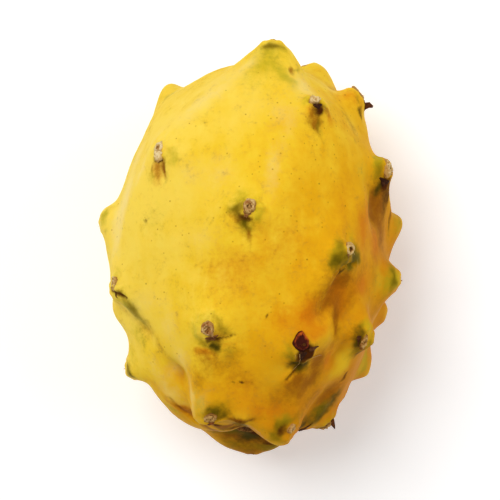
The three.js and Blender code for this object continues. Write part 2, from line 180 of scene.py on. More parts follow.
def bodyNormals(points):
    x, y, z = points.T
    length, n = bodyEnd(y)
    across = np.maximum(np.hypot(x, z), 1e-6)
    sideways = (across / body["radius"]) ** (n - 1) / body["radius"] / across
    endways = np.sign(y) * (np.abs(y) / length) ** (n - 1) / length
    return unit(np.stack([x * sideways, endways, z * sideways], 1))


def directionAt(turn, share):
    across = math.sqrt(max(1 - share * share, 0))
    angle = math.radians(turn)
    return np.array([across * math.sin(angle), share, across * math.cos(angle)])


def bodyAt(turn, along):
    length, n = bodyEnd(along)
    share = along / length
    across = (1 - abs(share) ** n) ** (1 / n)
    return bodyPoints(directionAt(turn, share / math.hypot(share, across))[None])[0]


def growTubercle(name, turn, along, reach, plump, pad=(0, 0)):
    form = tubercleForm
    length = bodyEnd(along)[0]
    flower = smooth(along, *form["turning"])
    slope = lerp(form["lean"], flower)
    share = along / (length + reach)
    for step in range(form["settleRounds"]):
        direction = directionAt(turn, share)
        site = bodyPoints(direction[None])[0]
        normal = bodyNormals(site[None])[0]
        upward = unit(axis - normal * normal[1])
        lean = unit(normal + upward * slope)
        share += form["settleStep"] * (along - site[1] - reach * lean[1]) / length
        share = min(max(share, -form["endmost"]), form["endmost"])
    return {"name": name, "direction": direction, "site": site, "normal": normal, "upward": upward,
            "around": np.cross(upward, normal), "lean": lean, "reach": reach, "pad": pad,
            "tip": site + lean * reach, "upperReach": lerp(form["upperReach"], flower),
            "lowerReach": lerp(form["lowerReach"], flower), "nubRadius": lerp(form["nubRadius"], plump),
            "nubShare": lerp(form["nubShare"], min(plump, 1))}


def growAll():
    grown = [growTubercle(name, **place) for name, place in tubercles.items()]
    for k in range(spiral["count"]):
        along = (body["flowerLength"] - spiral["endGap"]) * (2 * (k + 0.5) / spiral["count"] - 1)
        new = growTubercle(f"spiral{k}", k * spiral["angle"], along, spiral["reach"], spiral["plump"])
        nearest = min(np.linalg.norm(t["tip"] - new["tip"]) for t in grown)
        height = new["tip"][2]
        within = height < spiral["highest"] and height + body["axisHeight"] > spiral["clearance"]
        if within and nearest > spiral["spacing"]:
            grown.append(new)
    return grown


def ridgeAlong(start, end, height, fade, steep=None):
    right = unit(np.cross(end - start, bodyNormals((start + end)[None] / 2)[0]))
    sag = (end - start) @ (end - start) / (8 * body["radius"])
    return {"start": start, "end": end, "right": right, "height": height, "fade": fade,
            "steep": steep or fade, "sag": sag}


def joinNeighbours():
    ridges = []
    for i, a in enumerate(grown):
        for b in grown[i + 1:]:
            backwards = (b["name"], a["name"]) in crests
            names = (b["name"], a["name"]) if backwards else (a["name"], b["name"])
            crest = crests.get(names)
            length = np.linalg.norm(a["site"] - b["site"])
            middle = (a["site"] + b["site"]) / 2
            alone = all(c is a or c is b or np.linalg.norm(c["site"] - middle) > length / 2 for c in grown)
            if not crest and not (alone and length < ridgeForm["longest"]):
                continue
            path = [b["site"], a["site"]] if backwards else [a["site"], b["site"]]
            height, *fades = crest or (ridgeForm["height"], ridgeForm["fade"])
            heights = [height]
            if names in crestBends:
                bend, before = crestBends[names]
                path.insert(1, bodyAt(*bend))
                heights = [before, height]
            for start, end, height in zip(path, path[1:], heights):
                ridges.append(ridgeAlong(start, end, height, *fades))
    return ridges


def fromLine(points, start, end):
    along = end - start
    share = np.clip((points - start) @ along / max(along @ along, 1e-9), 0, 1)
    return points - start - share[:, None] * along


def surfacePoints(directions):
    base = bodyPoints(directions)
    normals = bodyNormals(base)
    push = np.zeros_like(base)
    total = np.zeros(len(base))
    sunk = np.zeros(len(base))
    form = tubercleForm
    for t in grown:
        offset = base - t["site"]
        u, v, w = offset @ t["around"], offset @ t["upward"], offset @ t["normal"]
        distance = np.sqrt(u * u + (v / np.where(v > 0, t["upperReach"], t["lowerReach"])) ** 2 + w * w)
        nub = np.exp(-(distance / t["nubRadius"]) ** form["nubPower"])
        cone = np.exp(-(distance / form["coneFade"]) ** form["conePower"])
        weight = (t["reach"] * (cone + (nub - cone) * t["nubShare"])) ** form["merge"]
        push += weight[:, None] * t["lean"]
        total += weight
        below = (v + hollowForm["below"]) / hollowForm["halfHeight"]
        across = u / hollowForm["halfWidth"]
        sunk += hollowForm["depth"] * np.exp(-across ** 2 - below ** 2 - (w / body["radius"]) ** 2)
    for ridge in ridges:
        offset = fromLine(base, ridge["start"], ridge["end"])
        fade = np.where(offset @ ridge["right"] > 0, ridge["steep"], ridge["fade"])
        off = np.maximum(np.linalg.norm(offset, axis=1) - ridge["sag"], 0)
        off = np.hypot(off, ridgeForm["crown"]) - ridgeForm["crown"]
        weight = (ridge["height"] * np.exp(-off / fade)) ** form["merge"]
        push += weight[:, None] * normals
        total += weight
    for start, end, height, radius in swells:
        off = np.linalg.norm(fromLine(base, bodyAt(*start), bodyAt(*end)), axis=1)
        sunk -= height * np.exp(-(off / radius) ** 2)
    across = np.hypot(base[:, 0], base[:, 2])
    for end, side in (("navel", 1), ("stem", -1)):
        depth, radius = endDents[end]
        sunk += np.where(base[:, 1] * side > 0, depth * np.exp(-(across / radius) ** 4), 0)
    points = base + unit(push) * (total ** (1 / form["merge"]))[:, None] - normals * sunk[:, None]
    x, y, z = points.T
    x = x + body["skew"] * y + body["bow"] * np.maximum(y, 0) ** 2 + body["centre"][0]
    return np.stack([x, y + body["centre"][1], z + body["axisHeight"]], 1)


grown = growAll()
ridges = joinNeighbours()
print("body formula ready,", len(grown), "tubercles")


def spotFrame(place, outward, upward):
    out = unit(outward)
    down = -unit(upward - out * (upward @ out))
    return {"place": place, "out": out, "down": down, "right": np.cross(out, down)}


def findSpot(t, span=1.5):
    direction = unit(t["direction"] + t["around"] * t["pad"][0] / body["radius"])
    direction = unit(direction + axis * t["pad"][1] / body["flowerLength"])
    step = span / body["radius"]
    ways = [direction + t["around"] * step, direction - t["around"] * step,
            direction + t["upward"] * step, direction - t["upward"] * step, direction]
    right, left, up, down, place = surfacePoints(unit(np.array(ways)))
    return spotFrame(place, np.cross(right - left, up - down), t["upward"])


# Where each woody pad sits: its place, and the ways right, down (to the stem) and out of the skin.
spots = {t["name"]: findSpot(t) for t in grown}


def noiseAt(points, size, shift=0.0):
    return np.array([noise.noise(Vector(point)) for point in points / size + shift])


def setInputs(tree, node, inputs):
    for socket, value in inputs.items():
        if isinstance(value, bpy.types.NodeSocket):
            tree.links.new(value, node.inputs[socket])
        else:
            node.inputs[socket].default_value = value


def addNode(tree, kind, inputs, **settings):
    node = tree.nodes.new("ShaderNode" + kind)
    for name, value in settings.items():
        setattr(node, name, value)
    setInputs(tree, node, inputs)
    return node


bumpDepth = 0.0003  # metres, as all sizes in the materials


def noiseNode(tree, where, size, detail, rough, bend=0.0):
    inputs = {"Vector": where, "Scale": 1 / size, "Detail": detail, "Roughness": rough, "Distortion": bend}
    return addNode(tree, "TexNoise", inputs).outputs["Fac"]


def calc(tree, operation, first, second):
    return addNode(tree, "Math", {0: first, 1: second}, operation=operation).outputs[0]


def stepNode(tree, value, low, high, top=1.0):
    inputs = {"Value": value, "From Min": low, "From Max": high, "To Min": 0.0, "To Max": top}
    return addNode(tree, "MapRange", inputs, interpolation_type="SMOOTHSTEP").outputs["Result"]


def mixNode(tree, share, first, second):
    return addNode(tree, "Mix", {0: share, 6: first, 7: second}, data_type="RGBA").outputs[2]


def attributeNode(tree, name):
    return addNode(tree, "Attribute", {}, attribute_name=name).outputs["Fac"]


def colour(*levels):
    linear = [(c / 255 / 12.92) if c <= 10 else ((c / 255 + 0.055) / 1.055) ** 2.4 for c in levels]
    return (*linear, 1.0)


def rampNode(tree, value, stops):
    node = addNode(tree, "ValToRGB", {0: value})
    handles = node.color_ramp.elements
    for place, shade in stops[1:-1]:
        handles.new(place)
    for handle, (place, shade) in zip(sorted(handles, key=lambda one: one.position), stops):
        handle.position = place
        handle.color = shade
    return node.outputs["Color"]


def bumpNode(tree, strength, height):
    inputs = {"Strength": strength, "Distance": bumpDepth, "Height": height}
    return addNode(tree, "Bump", inputs).outputs["Normal"]


def newMaterial(name):
    material = bpy.data.materials.new(name)
    material.use_nodes = True
    tree = material.node_tree
    shader = tree.nodes["Principled BSDF"]
    where = addNode(tree, "TexCoord", {}).outputs["Object"]
    return material, tree, shader, where


def makePiece(name, points, faces, material, layers):
    mesh = bpy.data.meshes.new(name)
    mesh.from_pydata((np.asarray(points) * mm).tolist(), [], faces)
    for layer, values in layers.items():
        mesh.attributes.new(layer, "FLOAT", "POINT").data.foreach_set("value", np.asarray(values, np.float32))
    mesh.polygons.foreach_set("use_smooth", [True] * len(mesh.polygons))
    mesh.materials.append(material)
    piece = bpy.data.objects.new(name, mesh)
    bpy.context.scene.collection.objects.link(piece)
    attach(piece, "root")
    return piece


skinForm = {
    "cuts": 96,  # along each edge of an icosahedron
    "crowdShare": 0.45,  # draws vertices towards the tips
    "crowdAngle": 0.15,
    "unevenHeight": 0.2,
    "unevenSize": 7.0,
    "dimpleHeight": 0.05,
    "dimpleSize": 1.7,
    "collarHeight": 0.3,  # the skin stands up round each pad
    "collarRadius": 2.7,
    "collarWidth": 0.9,
    "collarSquash": 0.85,  # below 1 it is longer along the fruit
    "foldHeight": 0.12,  # small folds run out from the pad
    "foldStart": 0.8,  # past the collar
    "foldReach": 2.4,
    "foldCount": 7,
    "restFade": (0.4, 3.0),  # no unevenness where the fruit lies on the floor
    "hollowRounds": 200,  # of smoothing, to find how hollow the skin is
    "hollowDepth": 1.7,
}

# Painted shade in the hollow under the stem end's lip, laid on as olive and moss: how far to the stem, up
# from the axis and right it begins, and how much of each.
lipShade = {"stem": (40, 46), "up": (-8, 4), "right": (-8, 0), "olive": 1.6, "moss": 1.2}

# Fine creases, each along its points as seen from straight above: depth, width, lip, brown.
creases = [
    dict(path=[(-37.3, -10.4), (-35.5, -11.0), (-33.3, -12.3)], depth=0.5, width=0.5, lip=0.2, brown=0.8),
    dict(path=[(-10.2, -23.0), (-6.7, -22.9), (-4.3, -22.2)], depth=0.35, width=0.4, lip=0.1, brown=0.6),
    dict(path=[(-5.8, -25.4), (-4.0, -25.7)], depth=0.15, width=0.4, lip=0.1, brown=0.3),
    dict(path=[(12.8, -30.0), (11.2, -32.2), (9.2, -34.3)], depth=0.4, width=0.45, lip=0.2, brown=0.7),
    dict(path=[(22.0, -6.4), (23.7, -4.5), (25.4, -3.6), (27.4, -3.3)], depth=0.6, width=0.5, lip=0.3,
         brown=0.2),
    dict(path=[(15.7, 40.0), (17.7, 39.2), (19.9, 38.3)], depth=0.5, width=0.5, lip=0.2, brown=0.7),
    dict(path=[(-25.6, 24.4), (-23.9, 24.5)], depth=0.4, width=0.4, lip=0.1, brown=0.7),
    dict(path=[(-21.6, -39.0), (-18.0, -42.4), (-14.4, -45.4)], depth=0.2, width=0.6, lip=0.1, brown=0.4),
]

# Stains, painted shade and painted light as seen from straight above: x, y, half the length, half the width,
# turn, strength.
marks = {
    # Painted light: golden lifts on the lower and right flanks that the key light leaves in shade.
    "goldPaintedLight": [
        (29.5, 20.7, 5.4, 2.6, 75, 0.6), (24.4, -29.6, 5.6, 3.4, 55, 0.95), (29.6, -30.8, 3.6, 2.6, 60, 0.8),
        (8.2, -31.0, 3.0, 2.4, 0, 0.45), (4.4, -34.4, 4.6, 3.6, 0, 0.4), (33.8, -7.4, 6.0, 2.2, 85, 0.6),
    ],
    # Painted sheen: pale highlights, most of them on the upper-left flanks and ridges.
    "creamSheen": [
        (-12.1, 40.8, 12.0, 3.2, 52, 0.6), (-34.0, 12.3, 9.5, 4.0, 85, 1.0), (-35.4, 4.4, 7.0, 3.0, 84, 0.55),
        (-0.1, 38.9, 7.0, 5.0, 40, 0.2), (13.6, 44.2, 5.0, 4.2, -30, 0.65), (10.0, 32.3, 7.0, 2.0, 70, 0.3),
        (5.6, 21.6, 7.0, 2.0, 85, 0.4), (-18.7, -28.6, 4.4, 3.0, 60, 0.5), (-29.4, 21.0, 5.0, 1.6, 60, 0.6),
        (-15.8, -38.6, 6.0, 1.4, -75, 0.5), (19.6, -42.0, 4.6, 0.8, 50, 0.6),
        (-22.1, -19.6, 5.6, 3.4, 80, 0.4), (-13.2, -39.6, 3.4, 2.2, 60, 0.4),
        (-21.6, -37.6, 5.0, 3.0, -50, 0.5), (-28.0, -13.4, 6.0, 3.0, 20, 0.35),
        (-20.4, -30.6, 4.0, 2.6, 60, 0.3), (-17.3, 20.7, 5.0, 3.4, 60, 0.3), (-13.1, 3.6, 5.0, 3.4, 0, 0.3),
        (-25.9, -30.4, 4.0, 2.4, -50, 0.3), (8.2, 37.6, 5.0, 3.4, 60, 0.3), (-8.8, 45.8, 5.0, 3.4, 50, 0.35),
        (-8.8, 20.7, 6.0, 4.4, 60, 0.35), (-30.1, 25.4, 4.4, 3.2, 60, 0.6), (-0.6, 50.2, 4.0, 2.2, 50, 0.5),
    ],
    "orange": [
        (15.4, 37.6, 1.8, 1.4, 70, 0.45), (20.8, 35.8, 3.0, 1.8, -50, 0.5), (25.1, 41.6, 4.4, 3.0, 0, 0.5),
        (-20.2, 44.6, 3.5, 1.8, 0, 0.3), (-24.9, 21.4, 3.4, 2.2, 88, 0.55), (31.0, 10.0, 7.0, 2.6, 70, 0.6),
        (33.0, 2.4, 5.0, 2.8, 80, 0.8), (-4.4, 8.8, 2.4, 1.2, -20, 0.4), (22.6, -10.6, 6.0, 4.6, 52, 0.8),
        (29.4, -9.0, 4.6, 3.6, 40, 0.75), (18.2, -21.4, 4.4, 3.0, 20, 0.55), (-12.7, -26.6, 2.6, 1.5, 0, 0.8),
        (-6.6, -24.6, 2.4, 1.2, 0, 0.35), (20.4, -28.6, 4.0, 2.6, -45, 0.7),
        (-17.4, -42.4, 5.2, 2.4, -42, 0.8), (23.4, -15.2, 4.0, 2.6, 80, 0.5),
        (-2.4, -35.6, 7.4, 5.0, 0, 0.35), (-5.6, -5.0, 9.0, 6.0, 20, 0.4), (6.0, -42.6, 7.0, 2.4, 0, 0.5),
        (8.6, 3.0, 9.0, 6.0, -30, 0.3), (15.4, -16.4, 5.4, 3.8, 60, 0.8), (29.6, 6.2, 5.4, 2.8, 85, 0.8),
        (24.6, 14.0, 9.0, 4.0, 70, 0.3), (25.3, 33.0, 4.0, 3.0, 0, 0.3), (8.2, -17.7, 4.4, 3.4, 40, 0.45),
    ],
    # Those below -40, round the stem end, are painted shade in the hollow under the lip and on the flanks
    # beside it.
    "umber": [
        (10.9, 48.6, 1.4, 0.9, 95, 0.8), (19.9, 37.3, 2.0, 0.9, -20, 0.7), (17.2, 34.4, 3.4, 1.9, 95, 0.8),
        (16.2, 36.6, 1.2, 0.7, 80, 0.6), (26.6, 33.6, 3.8, 2.0, -60, 0.45), (-24.6, 22.2, 2.6, 1.5, 80, 0.6),
        (-23.1, 21.8, 2.4, 0.7, 100, 1.0), (-26.3, 22.0, 2.0, 0.4, 85, 0.6), (34.0, 12.8, 6.0, 4.6, 80, 0.95),
        (31.6, 12.0, 5.6, 2.2, 70, 0.6), (34.6, 5.4, 5.6, 3.6, 88, 0.7), (32.8, 12.6, 5.4, 3.0, 80, 0.6),
        (-2.6, 9.4, 3.2, 1.7, -22, 0.8), (-1.0, 4.6, 2.8, 0.9, -85, 0.8), (21.0, -9.4, 7.2, 5.0, 52, 0.64),
        (25.6, -7.0, 3.4, 2.2, 60, 0.6), (26.6, -11.6, 4.4, 2.4, 60, 0.4), (20.4, -14.0, 4.4, 1.3, 20, 0.35),
        (-12.2, -27.6, 3.0, 2.0, 0, 0.6), (-8.8, -22.2, 3.2, 2.2, 0, 0.4), (17.6, -28.6, 4.0, 2.6, -50, 0.8),
        (15.8, -33.8, 5.0, 3.2, 50, 0.75), (12.4, -33.6, 3.4, 2.2, 50, 0.8),
        (-34.6, -12.0, 2.4, 0.9, -30, 0.5), (-22.9, -27.0, 8.0, 1.8, -50, 0.3),
        (20.4, -37.4, 6.4, 3.4, 50, 0.75), (-7.6, -46.8, 4.6, 1.6, 5, 0.95),
        (16.0, -39.2, 4.0, 2.6, 20, 0.55), (-4.6, -48.6, 5.0, 3.4, -20, 0.9),
        (-10.4, -47.4, 4.4, 1.2, 0, 0.8), (-3.4, -45.2, 3.8, 1.2, 2, 0.95), (7.9, -47.4, 2.0, 1.6, 0, 0.5),
        (-1.0, -53.0, 8.0, 2.4, 0, 0.6), (-16.4, -42.6, 6.0, 1.2, -42, 0.7),
        (22.6, -18.4, 6.6, 2.2, 88, 0.85), (27.0, -21.6, 4.0, 1.4, 55, 0.4), (33.0, -4.0, 7.0, 2.4, 85, 0.3),
        (10.2, -38.2, 6.0, 3.8, 10, 0.58), (-1.8, -34.4, 4.6, 2.4, -10, 0.35),
        (-13.6, -36.0, 7.6, 1.8, -76, 0.35), (-10.2, -30.6, 4.4, 2.6, 20, 0.4),
        (-9.6, -22.2, 3.4, 1.6, -80, 0.4), (33.6, -13.4, 4.0, 2.0, 70, 0.3), (29.5, -5.0, 3.0, 2.2, 80, 0.35),
        (-4.6, -28.2, 4.4, 3.0, 80, 0.35),
    ],
    "green": [
        (4.4, 53.4, 4.0, 2.4, 5, 0.6), (3.7, 49.7, 3.8, 2.8, 10, 0.55), (8.2, 54.0, 2.0, 1.6, 60, 0.3),
        (9.4, 46.4, 4.4, 2.4, -50, 0.6), (14.9, 40.2, 2.0, 1.4, 80, 0.45), (20.4, 40.0, 2.0, 1.4, 130, 0.35),
        (-22.4, 45.4, 2.6, 1.6, 0, 0.4), (-21.2, 25.2, 3.4, 2.0, 70, 0.5), (-26.4, 19.8, 2.4, 2.0, 0, 0.35),
        (34.0, 24.2, 4.6, 1.8, 70, 0.75), (39.0, 7.4, 4.6, 2.6, 80, 0.45), (38.4, -7.4, 4.4, 2.6, 75, 0.7),
        (1.8, 10.0, 3.0, 1.6, 80, 0.6), (-2.4, 14.4, 4.0, 2.4, 15, 0.5), (22.6, 0.4, 3.8, 1.8, 75, 0.7),
        (26.4, 3.6, 2.6, 1.8, 60, 0.4), (-14.8, -21.8, 3.4, 2.0, 80, 0.5), (-12.2, -17.4, 3.2, 2.0, 0, 0.4),
        (-6.2, -26.6, 3.4, 2.4, 0, 0.3), (9.6, -26.4, 3.0, 1.8, 85, 0.45), (30.6, -19.4, 2.6, 1.8, 0, 0.6),
        (36.0, -9.0, 3.4, 2.4, 70, 0.5), (34.6, -27.6, 3.0, 2.2, 60, 0.45), (-36.0, -6.6, 3.0, 1.8, 60, 0.45),
        (-33.3, -14.0, 5.0, 2.6, -55, 0.5), (-31.6, -28.0, 3.6, 1.6, -80, 0.35),
        (-39.4, 9.6, 3.0, 2.0, 60, 0.65), (-14.2, -40.6, 3.0, 3.4, 0, 0.45), (9.0, -45.0, 2.4, 2.6, 0, 0.6),
        (-20.6, -42.2, 3.0, 1.8, -45, 0.5), (-0.3, 46.3, 4.4, 3.4, 0, 0.25), (29.5, -30.6, 3.4, 2.2, 60, 0.5),
        (-30.1, -21.9, 4.4, 2.6, -60, 0.35), (-26.0, 7.9, 5.0, 3.8, 60, 0.2),
    ],
    # Those below -40, round the stem end, darken the hollow under the lip and the flanks beside it: partly
    # painted shade, partly the skin's own colour round the stem.
    "olive": [
        (5.4, 54.9, 3.4, 1.5, 5, 0.95), (3.4, 52.6, 1.2, 0.7, 60, 0.3), (12.4, 48.4, 1.8, 0.8, 30, 0.5),
        (17.9, 33.4, 3.2, 0.8, 92, 0.6), (28.3, 40.8, 1.8, 1.0, 80, 0.5), (-23.4, 44.4, 1.6, 1.1, 0, 0.3),
        (-22.4, 19.8, 2.2, 0.9, 90, 0.4), (34.2, 21.6, 3.0, 1.5, 75, 0.7), (-4.0, 11.5, 3.0, 2.0, 5, 0.9),
        (-1.6, 7.4, 2.6, 1.7, -78, 0.95), (22.6, -2.4, 2.6, 1.7, 60, 0.95), (25.6, -2.2, 3.6, 1.6, 5, 1.0),
        (28.3, -1.6, 2.0, 1.6, 0, 0.95), (23.4, 1.8, 2.4, 1.2, 65, 0.7), (27.2, -1.5, 3.2, 2.2, 85, 1.0),
        (26.6, -3.0, 2.6, 1.5, 60, 0.9), (25.0, -1.2, 2.0, 1.2, 20, 0.8), (-7.2, -20.8, 3.0, 1.4, -18, 0.5),
        (-12.2, -24.2, 2.0, 1.2, 10, 0.6), (-9.1, -18.6, 2.6, 1.7, -40, 0.45),
        (10.8, -28.0, 3.2, 1.7, 80, 0.6), (28.2, -26.2, 3.2, 1.4, 80, 0.6), (31.9, -24.0, 2.4, 1.2, 85, 0.55),
        (39.2, 9.0, 2.6, 1.2, 80, 0.5), (38.2, -7.0, 4.4, 1.3, 85, 0.85), (34.2, -33.0, 3.6, 1.4, 70, 0.4),
        (-31.2, -16.0, 6.0, 2.6, -58, 0.75), (-33.0, -30.4, 3.0, 1.6, -70, 0.5),
        (-38.6, 5.8, 1.4, 0.9, 60, 0.4), (-9.4, -42.4, 4.4, 2.8, 5, 0.78), (7.8, -46.6, 2.8, 1.6, 60, 0.8),
        (6.6, -49.4, 3.2, 1.4, -40, 0.7), (11.6, -44.6, 4.4, 1.8, 10, 0.45), (18.6, -42.4, 4.2, 2.6, 35, 0.9),
        (-4.0, -47.4, 6.0, 2.4, 0, 0.8), (4.4, -52.0, 5.4, 2.6, 10, 0.8), (-4.4, -51.2, 5.4, 2.6, -20, 0.6),
    ],
    # Those below -40, round the stem end, darken the hollow under the lip and the flanks beside it: partly
    # painted shade, partly the skin's own colour round the stem.
    "moss": [
        (33.9, 17.2, 3.2, 1.6, 35, 0.9), (35.4, 13.6, 4.6, 2.2, 80, 0.5), (-1.4, 8.2, 1.8, 1.1, -70, 0.7),
        (22.6, -2.6, 2.0, 1.1, 55, 0.5), (27.8, -1.7, 1.8, 1.1, 0, 0.4), (24.2, -5.0, 1.8, 0.8, 33, 1.0),
        (27.0, -2.0, 2.6, 1.3, 80, 0.5), (-9.6, -25.2, 2.0, 1.4, 80, 0.95), (12.2, -29.4, 2.9, 2.1, 70, 1.0),
        (13.6, -30.2, 2.6, 2.0, 60, 0.95), (28.7, -23.0, 4.2, 1.7, 87, 0.9),
        (29.5, -26.4, 2.4, 1.2, 80, 0.85), (-32.4, -32.4, 2.6, 1.6, -60, 0.75),
        (-9.6, -42.6, 3.2, 1.7, 5, 0.75), (-8.2, -44.4, 1.8, 1.2, 30, 0.7), (15.0, -47.6, 4.2, 1.3, 15, 0.95),
        (22.2, -39.0, 3.8, 2.4, 45, 0.7), (-0.2, -48.8, 5.0, 3.8, 60, 0.95), (1.2, -48.2, 2.4, 1.5, -50, 0.8),
        (13.4, -46.4, 2.6, 1.6, 20, 0.9), (18.4, -43.8, 4.0, 1.6, 25, 0.7),
    ],
    "brown": [
        (17.8, 38.0, 1.9, 1.4, 0, 0.95), (18.2, 36.6, 1.2, 1.1, 70, 0.9), (29.2, 37.0, 2.4, 1.0, 85, 0.8),
        (-24.8, 24.4, 1.9, 0.6, 0, 0.8), (-23.0, 22.0, 1.4, 0.5, 100, 0.6), (35.8, 18.0, 3.0, 2.0, 30, 1.0),
        (36.6, 15.6, 3.6, 1.6, 85, 0.8), (36.9, 9.0, 5.0, 0.9, 88, 0.6), (35.6, 14.2, 3.6, 1.8, 80, 0.5),
        (-1.7, 9.3, 2.4, 1.2, -20, 0.8), (25.6, -9.0, 0.8, 0.6, 60, 0.6), (17.4, -12.2, 0.9, 0.5, 50, 0.5),
        (26.0, -6.8, 0.6, 0.5, 60, 0.5), (-10.9, -23.5, 2.0, 0.9, -8, 0.8), (13.9, -25.0, 1.8, 1.3, 90, 0.95),
        (15.4, -27.0, 3.0, 1.8, 15, 0.95), (14.2, -28.0, 2.0, 1.6, 80, 0.95), (36.9, -1.0, 2.4, 0.8, 75, 0.4),
        (-35.6, -11.1, 1.9, 0.7, -12, 0.6), (-10.0, -46.0, 3.0, 0.8, 5, 0.8), (8.2, -47.8, 1.8, 1.1, 60, 0.8),
        (12.8, -48.0, 1.8, 1.0, 10, 0.7), (25.0, -33.1, 1.8, 0.8, 50, 0.8), (-5.0, -47.0, 4.8, 1.2, 6, 0.7),
        (0.6, -48.0, 3.4, 1.2, -50, 0.9), (4.2, -50.8, 3.0, 0.9, -40, 0.7), (-2.6, -45.7, 3.0, 1.0, 0, 0.7),
        (4.6, -16.8, 0.55, 0.4, 40, 0.75), (-2.8, -35.0, 0.7, 0.5, 20, 1.0), (-4.4, -34.8, 0.5, 0.4, 0, 0.9),
        (-28.4, 8.0, 0.7, 0.5, 0, 0.7),
    ],
}

# What the other tubercles have: kind, right and down from the pad, half length, half width, turn, strength.
# Those below the pad (brown, olive, orange, moss, umber) darken the tubercle's lower side towards the stem
# end: partly the skin's own stain, partly painted shade under the tubercle.
commonMarks = [
    ("green", 0.0, -1.0, 4.4, 3.4, 0, 0.45), ("brown", 0.2, 3.2, 2.0, 1.1, 0, 0.8),
    ("olive", -1.8, 2.6, 2.8, 1.8, 30, 0.6), ("orange", 0.4, 6.0, 3.6, 2.6, 0, 0.6),
    ("moss", 0.6, 5.0, 2.2, 1.3, 90, 0.6), ("umber", 0.2, 6.8, 4.6, 2.4, 90, 0.5),
]
commonVary = {"seed": 4, "size": (0.7, 1.3), "turn": 30}
ownMarks = "acfhkoqmvwpgdbjlis"  # the tubercles that have marks of their own above

# How sharp the edge of each kind is.
edgeOf = {"green": 2.0, "orange": 2.0, "goldPaintedLight": 2.0, "creamSheen": 2.0, "umber": 2.2, "olive": 2.0, "moss": 2.2,
          "brown": 2.6}
markWobble = {"size": 2.2, "amount": 1.1, "shifts": (0.0, 40.0, 80.0)}  # makes the edges uneven

# Fine specks: x, y, radius, strength. They lie on the upper side, and thinly everywhere.
speckled = [(16.0, 24.0, 13.0, 1.0), (22.0, 36.0, 8.0, 0.6), (24.0, -10.0, 7.0, 0.7), (4.0, -36.0, 10.0, 0.4)]
speckForm = {"least": 0.12, "above": 20}

# The peel ripens from lemon to amber: to the right, to the stem end and downwards. This is partly painted
# shade, darker on the sides that the key light from the upper left leaves in shade.
ripeningAndShade = {"middle": 0.40, "right": 0.014, "flower": 0.004, "stem": 0.25, "stemFrom": (12, 48),
            "flowerRight": 0.00024, "up": 0.002}

measuredFrom = (-0.3, 1.38)  # the point under the eye that the places above are measured to
eyeHeight = 600.0  # over the fruit's axis
eye = Vector((*body["centre"], body["axisHeight"] + eyeHeight))
rayReach = {"start": 6, "length": 20}  # to find the skin under a point near it


def crowded(directions):
    moved = directions.copy()
    for t in grown:
        angle = np.arccos(np.clip(directions @ t["direction"], -1, 1)) / skinForm["crowdAngle"]
        moved += (t["direction"] - directions) * (skinForm["crowdShare"] * np.exp(-angle ** 2))[:, None]
    return unit(moved)


def geodesicSphere():
    shape = bmesh.new()
    bmesh.ops.create_icosphere(shape, subdivisions=1, radius=1)
    bmesh.ops.subdivide_edges(shape, edges=shape.edges, cuts=skinForm["cuts"] - 1, use_grid_fill=True)
    shape.verts.index_update()
    directions = unit(np.array([vertex.co for vertex in shape.verts]))
    faces = np.array([[vertex.index for vertex in face.verts] for face in shape.faces])
    shape.free()
    return directions, faces


def vertexNormals(points, faces):
    a, b, c = (points[faces[:, k]] for k in range(3))
    cross = np.cross(b - a, c - a)
    normals = np.zeros_like(points)
    for k in range(3):
        for way in range(3):
            normals[:, way] += np.bincount(faces[:, k], cross[:, way], len(points))
    return unit(normals)


# Painted shade and painted highlight: how far the skin lies below its smoothed self darkens hollows, how far
# above it lightens crests.
def hollowAndCrestShading(points, faces, normals):
    ends = np.concatenate([faces[:, [0, 1]], faces[:, [1, 2]], faces[:, [2, 0]]])
    starts, stops = np.concatenate([ends, ends[:, ::-1]]).T
    neighbours = np.bincount(starts, minlength=len(points))
    even = points
    for turn in range(skinForm["hollowRounds"]):
        around = [np.bincount(starts, even[stops, way], len(points)) for way in range(3)]
        even = (even + np.stack(around, 1) / neighbours[:, None]) / 2
    depth = np.einsum("ij,ij->i", even - points, normals) / skinForm["hollowDepth"]
    return {"hollowShade": np.clip(depth, 0, 1), "crown": np.clip(-depth, 0, 1)}


# Where a ray meets the skin, or the place on it nearest to a point if the ray misses.
def onSkin(tree, start, way, reach, nearby):
    place, normal, index, distance = tree.ray_cast(Vector(start), Vector(way), reach)
    if place is None:
        place, normal, index, distance = tree.find_nearest(Vector(nearby))
    return np.array(place), np.array(normal)


def seenFromAbove(tree, x, y):
    aim = Vector((x - measuredFrom[0] + eye.x, y - measuredFrom[1] + eye.y, body["axisHeight"]))
    return onSkin(tree, eye, (aim - eye).normalized(), 2 * eyeHeight, aim)


def besideSpot(tree, spot, right, down):
    start = spot["place"] + spot["right"] * right + spot["down"] * down + spot["out"] * rayReach["start"]
    return onSkin(tree, start, -spot["out"], rayReach["length"], start)


def fromSpot(points, spot):
    offset = points - spot["place"]
    return offset @ spot["right"], offset @ spot["down"], offset @ spot["out"]


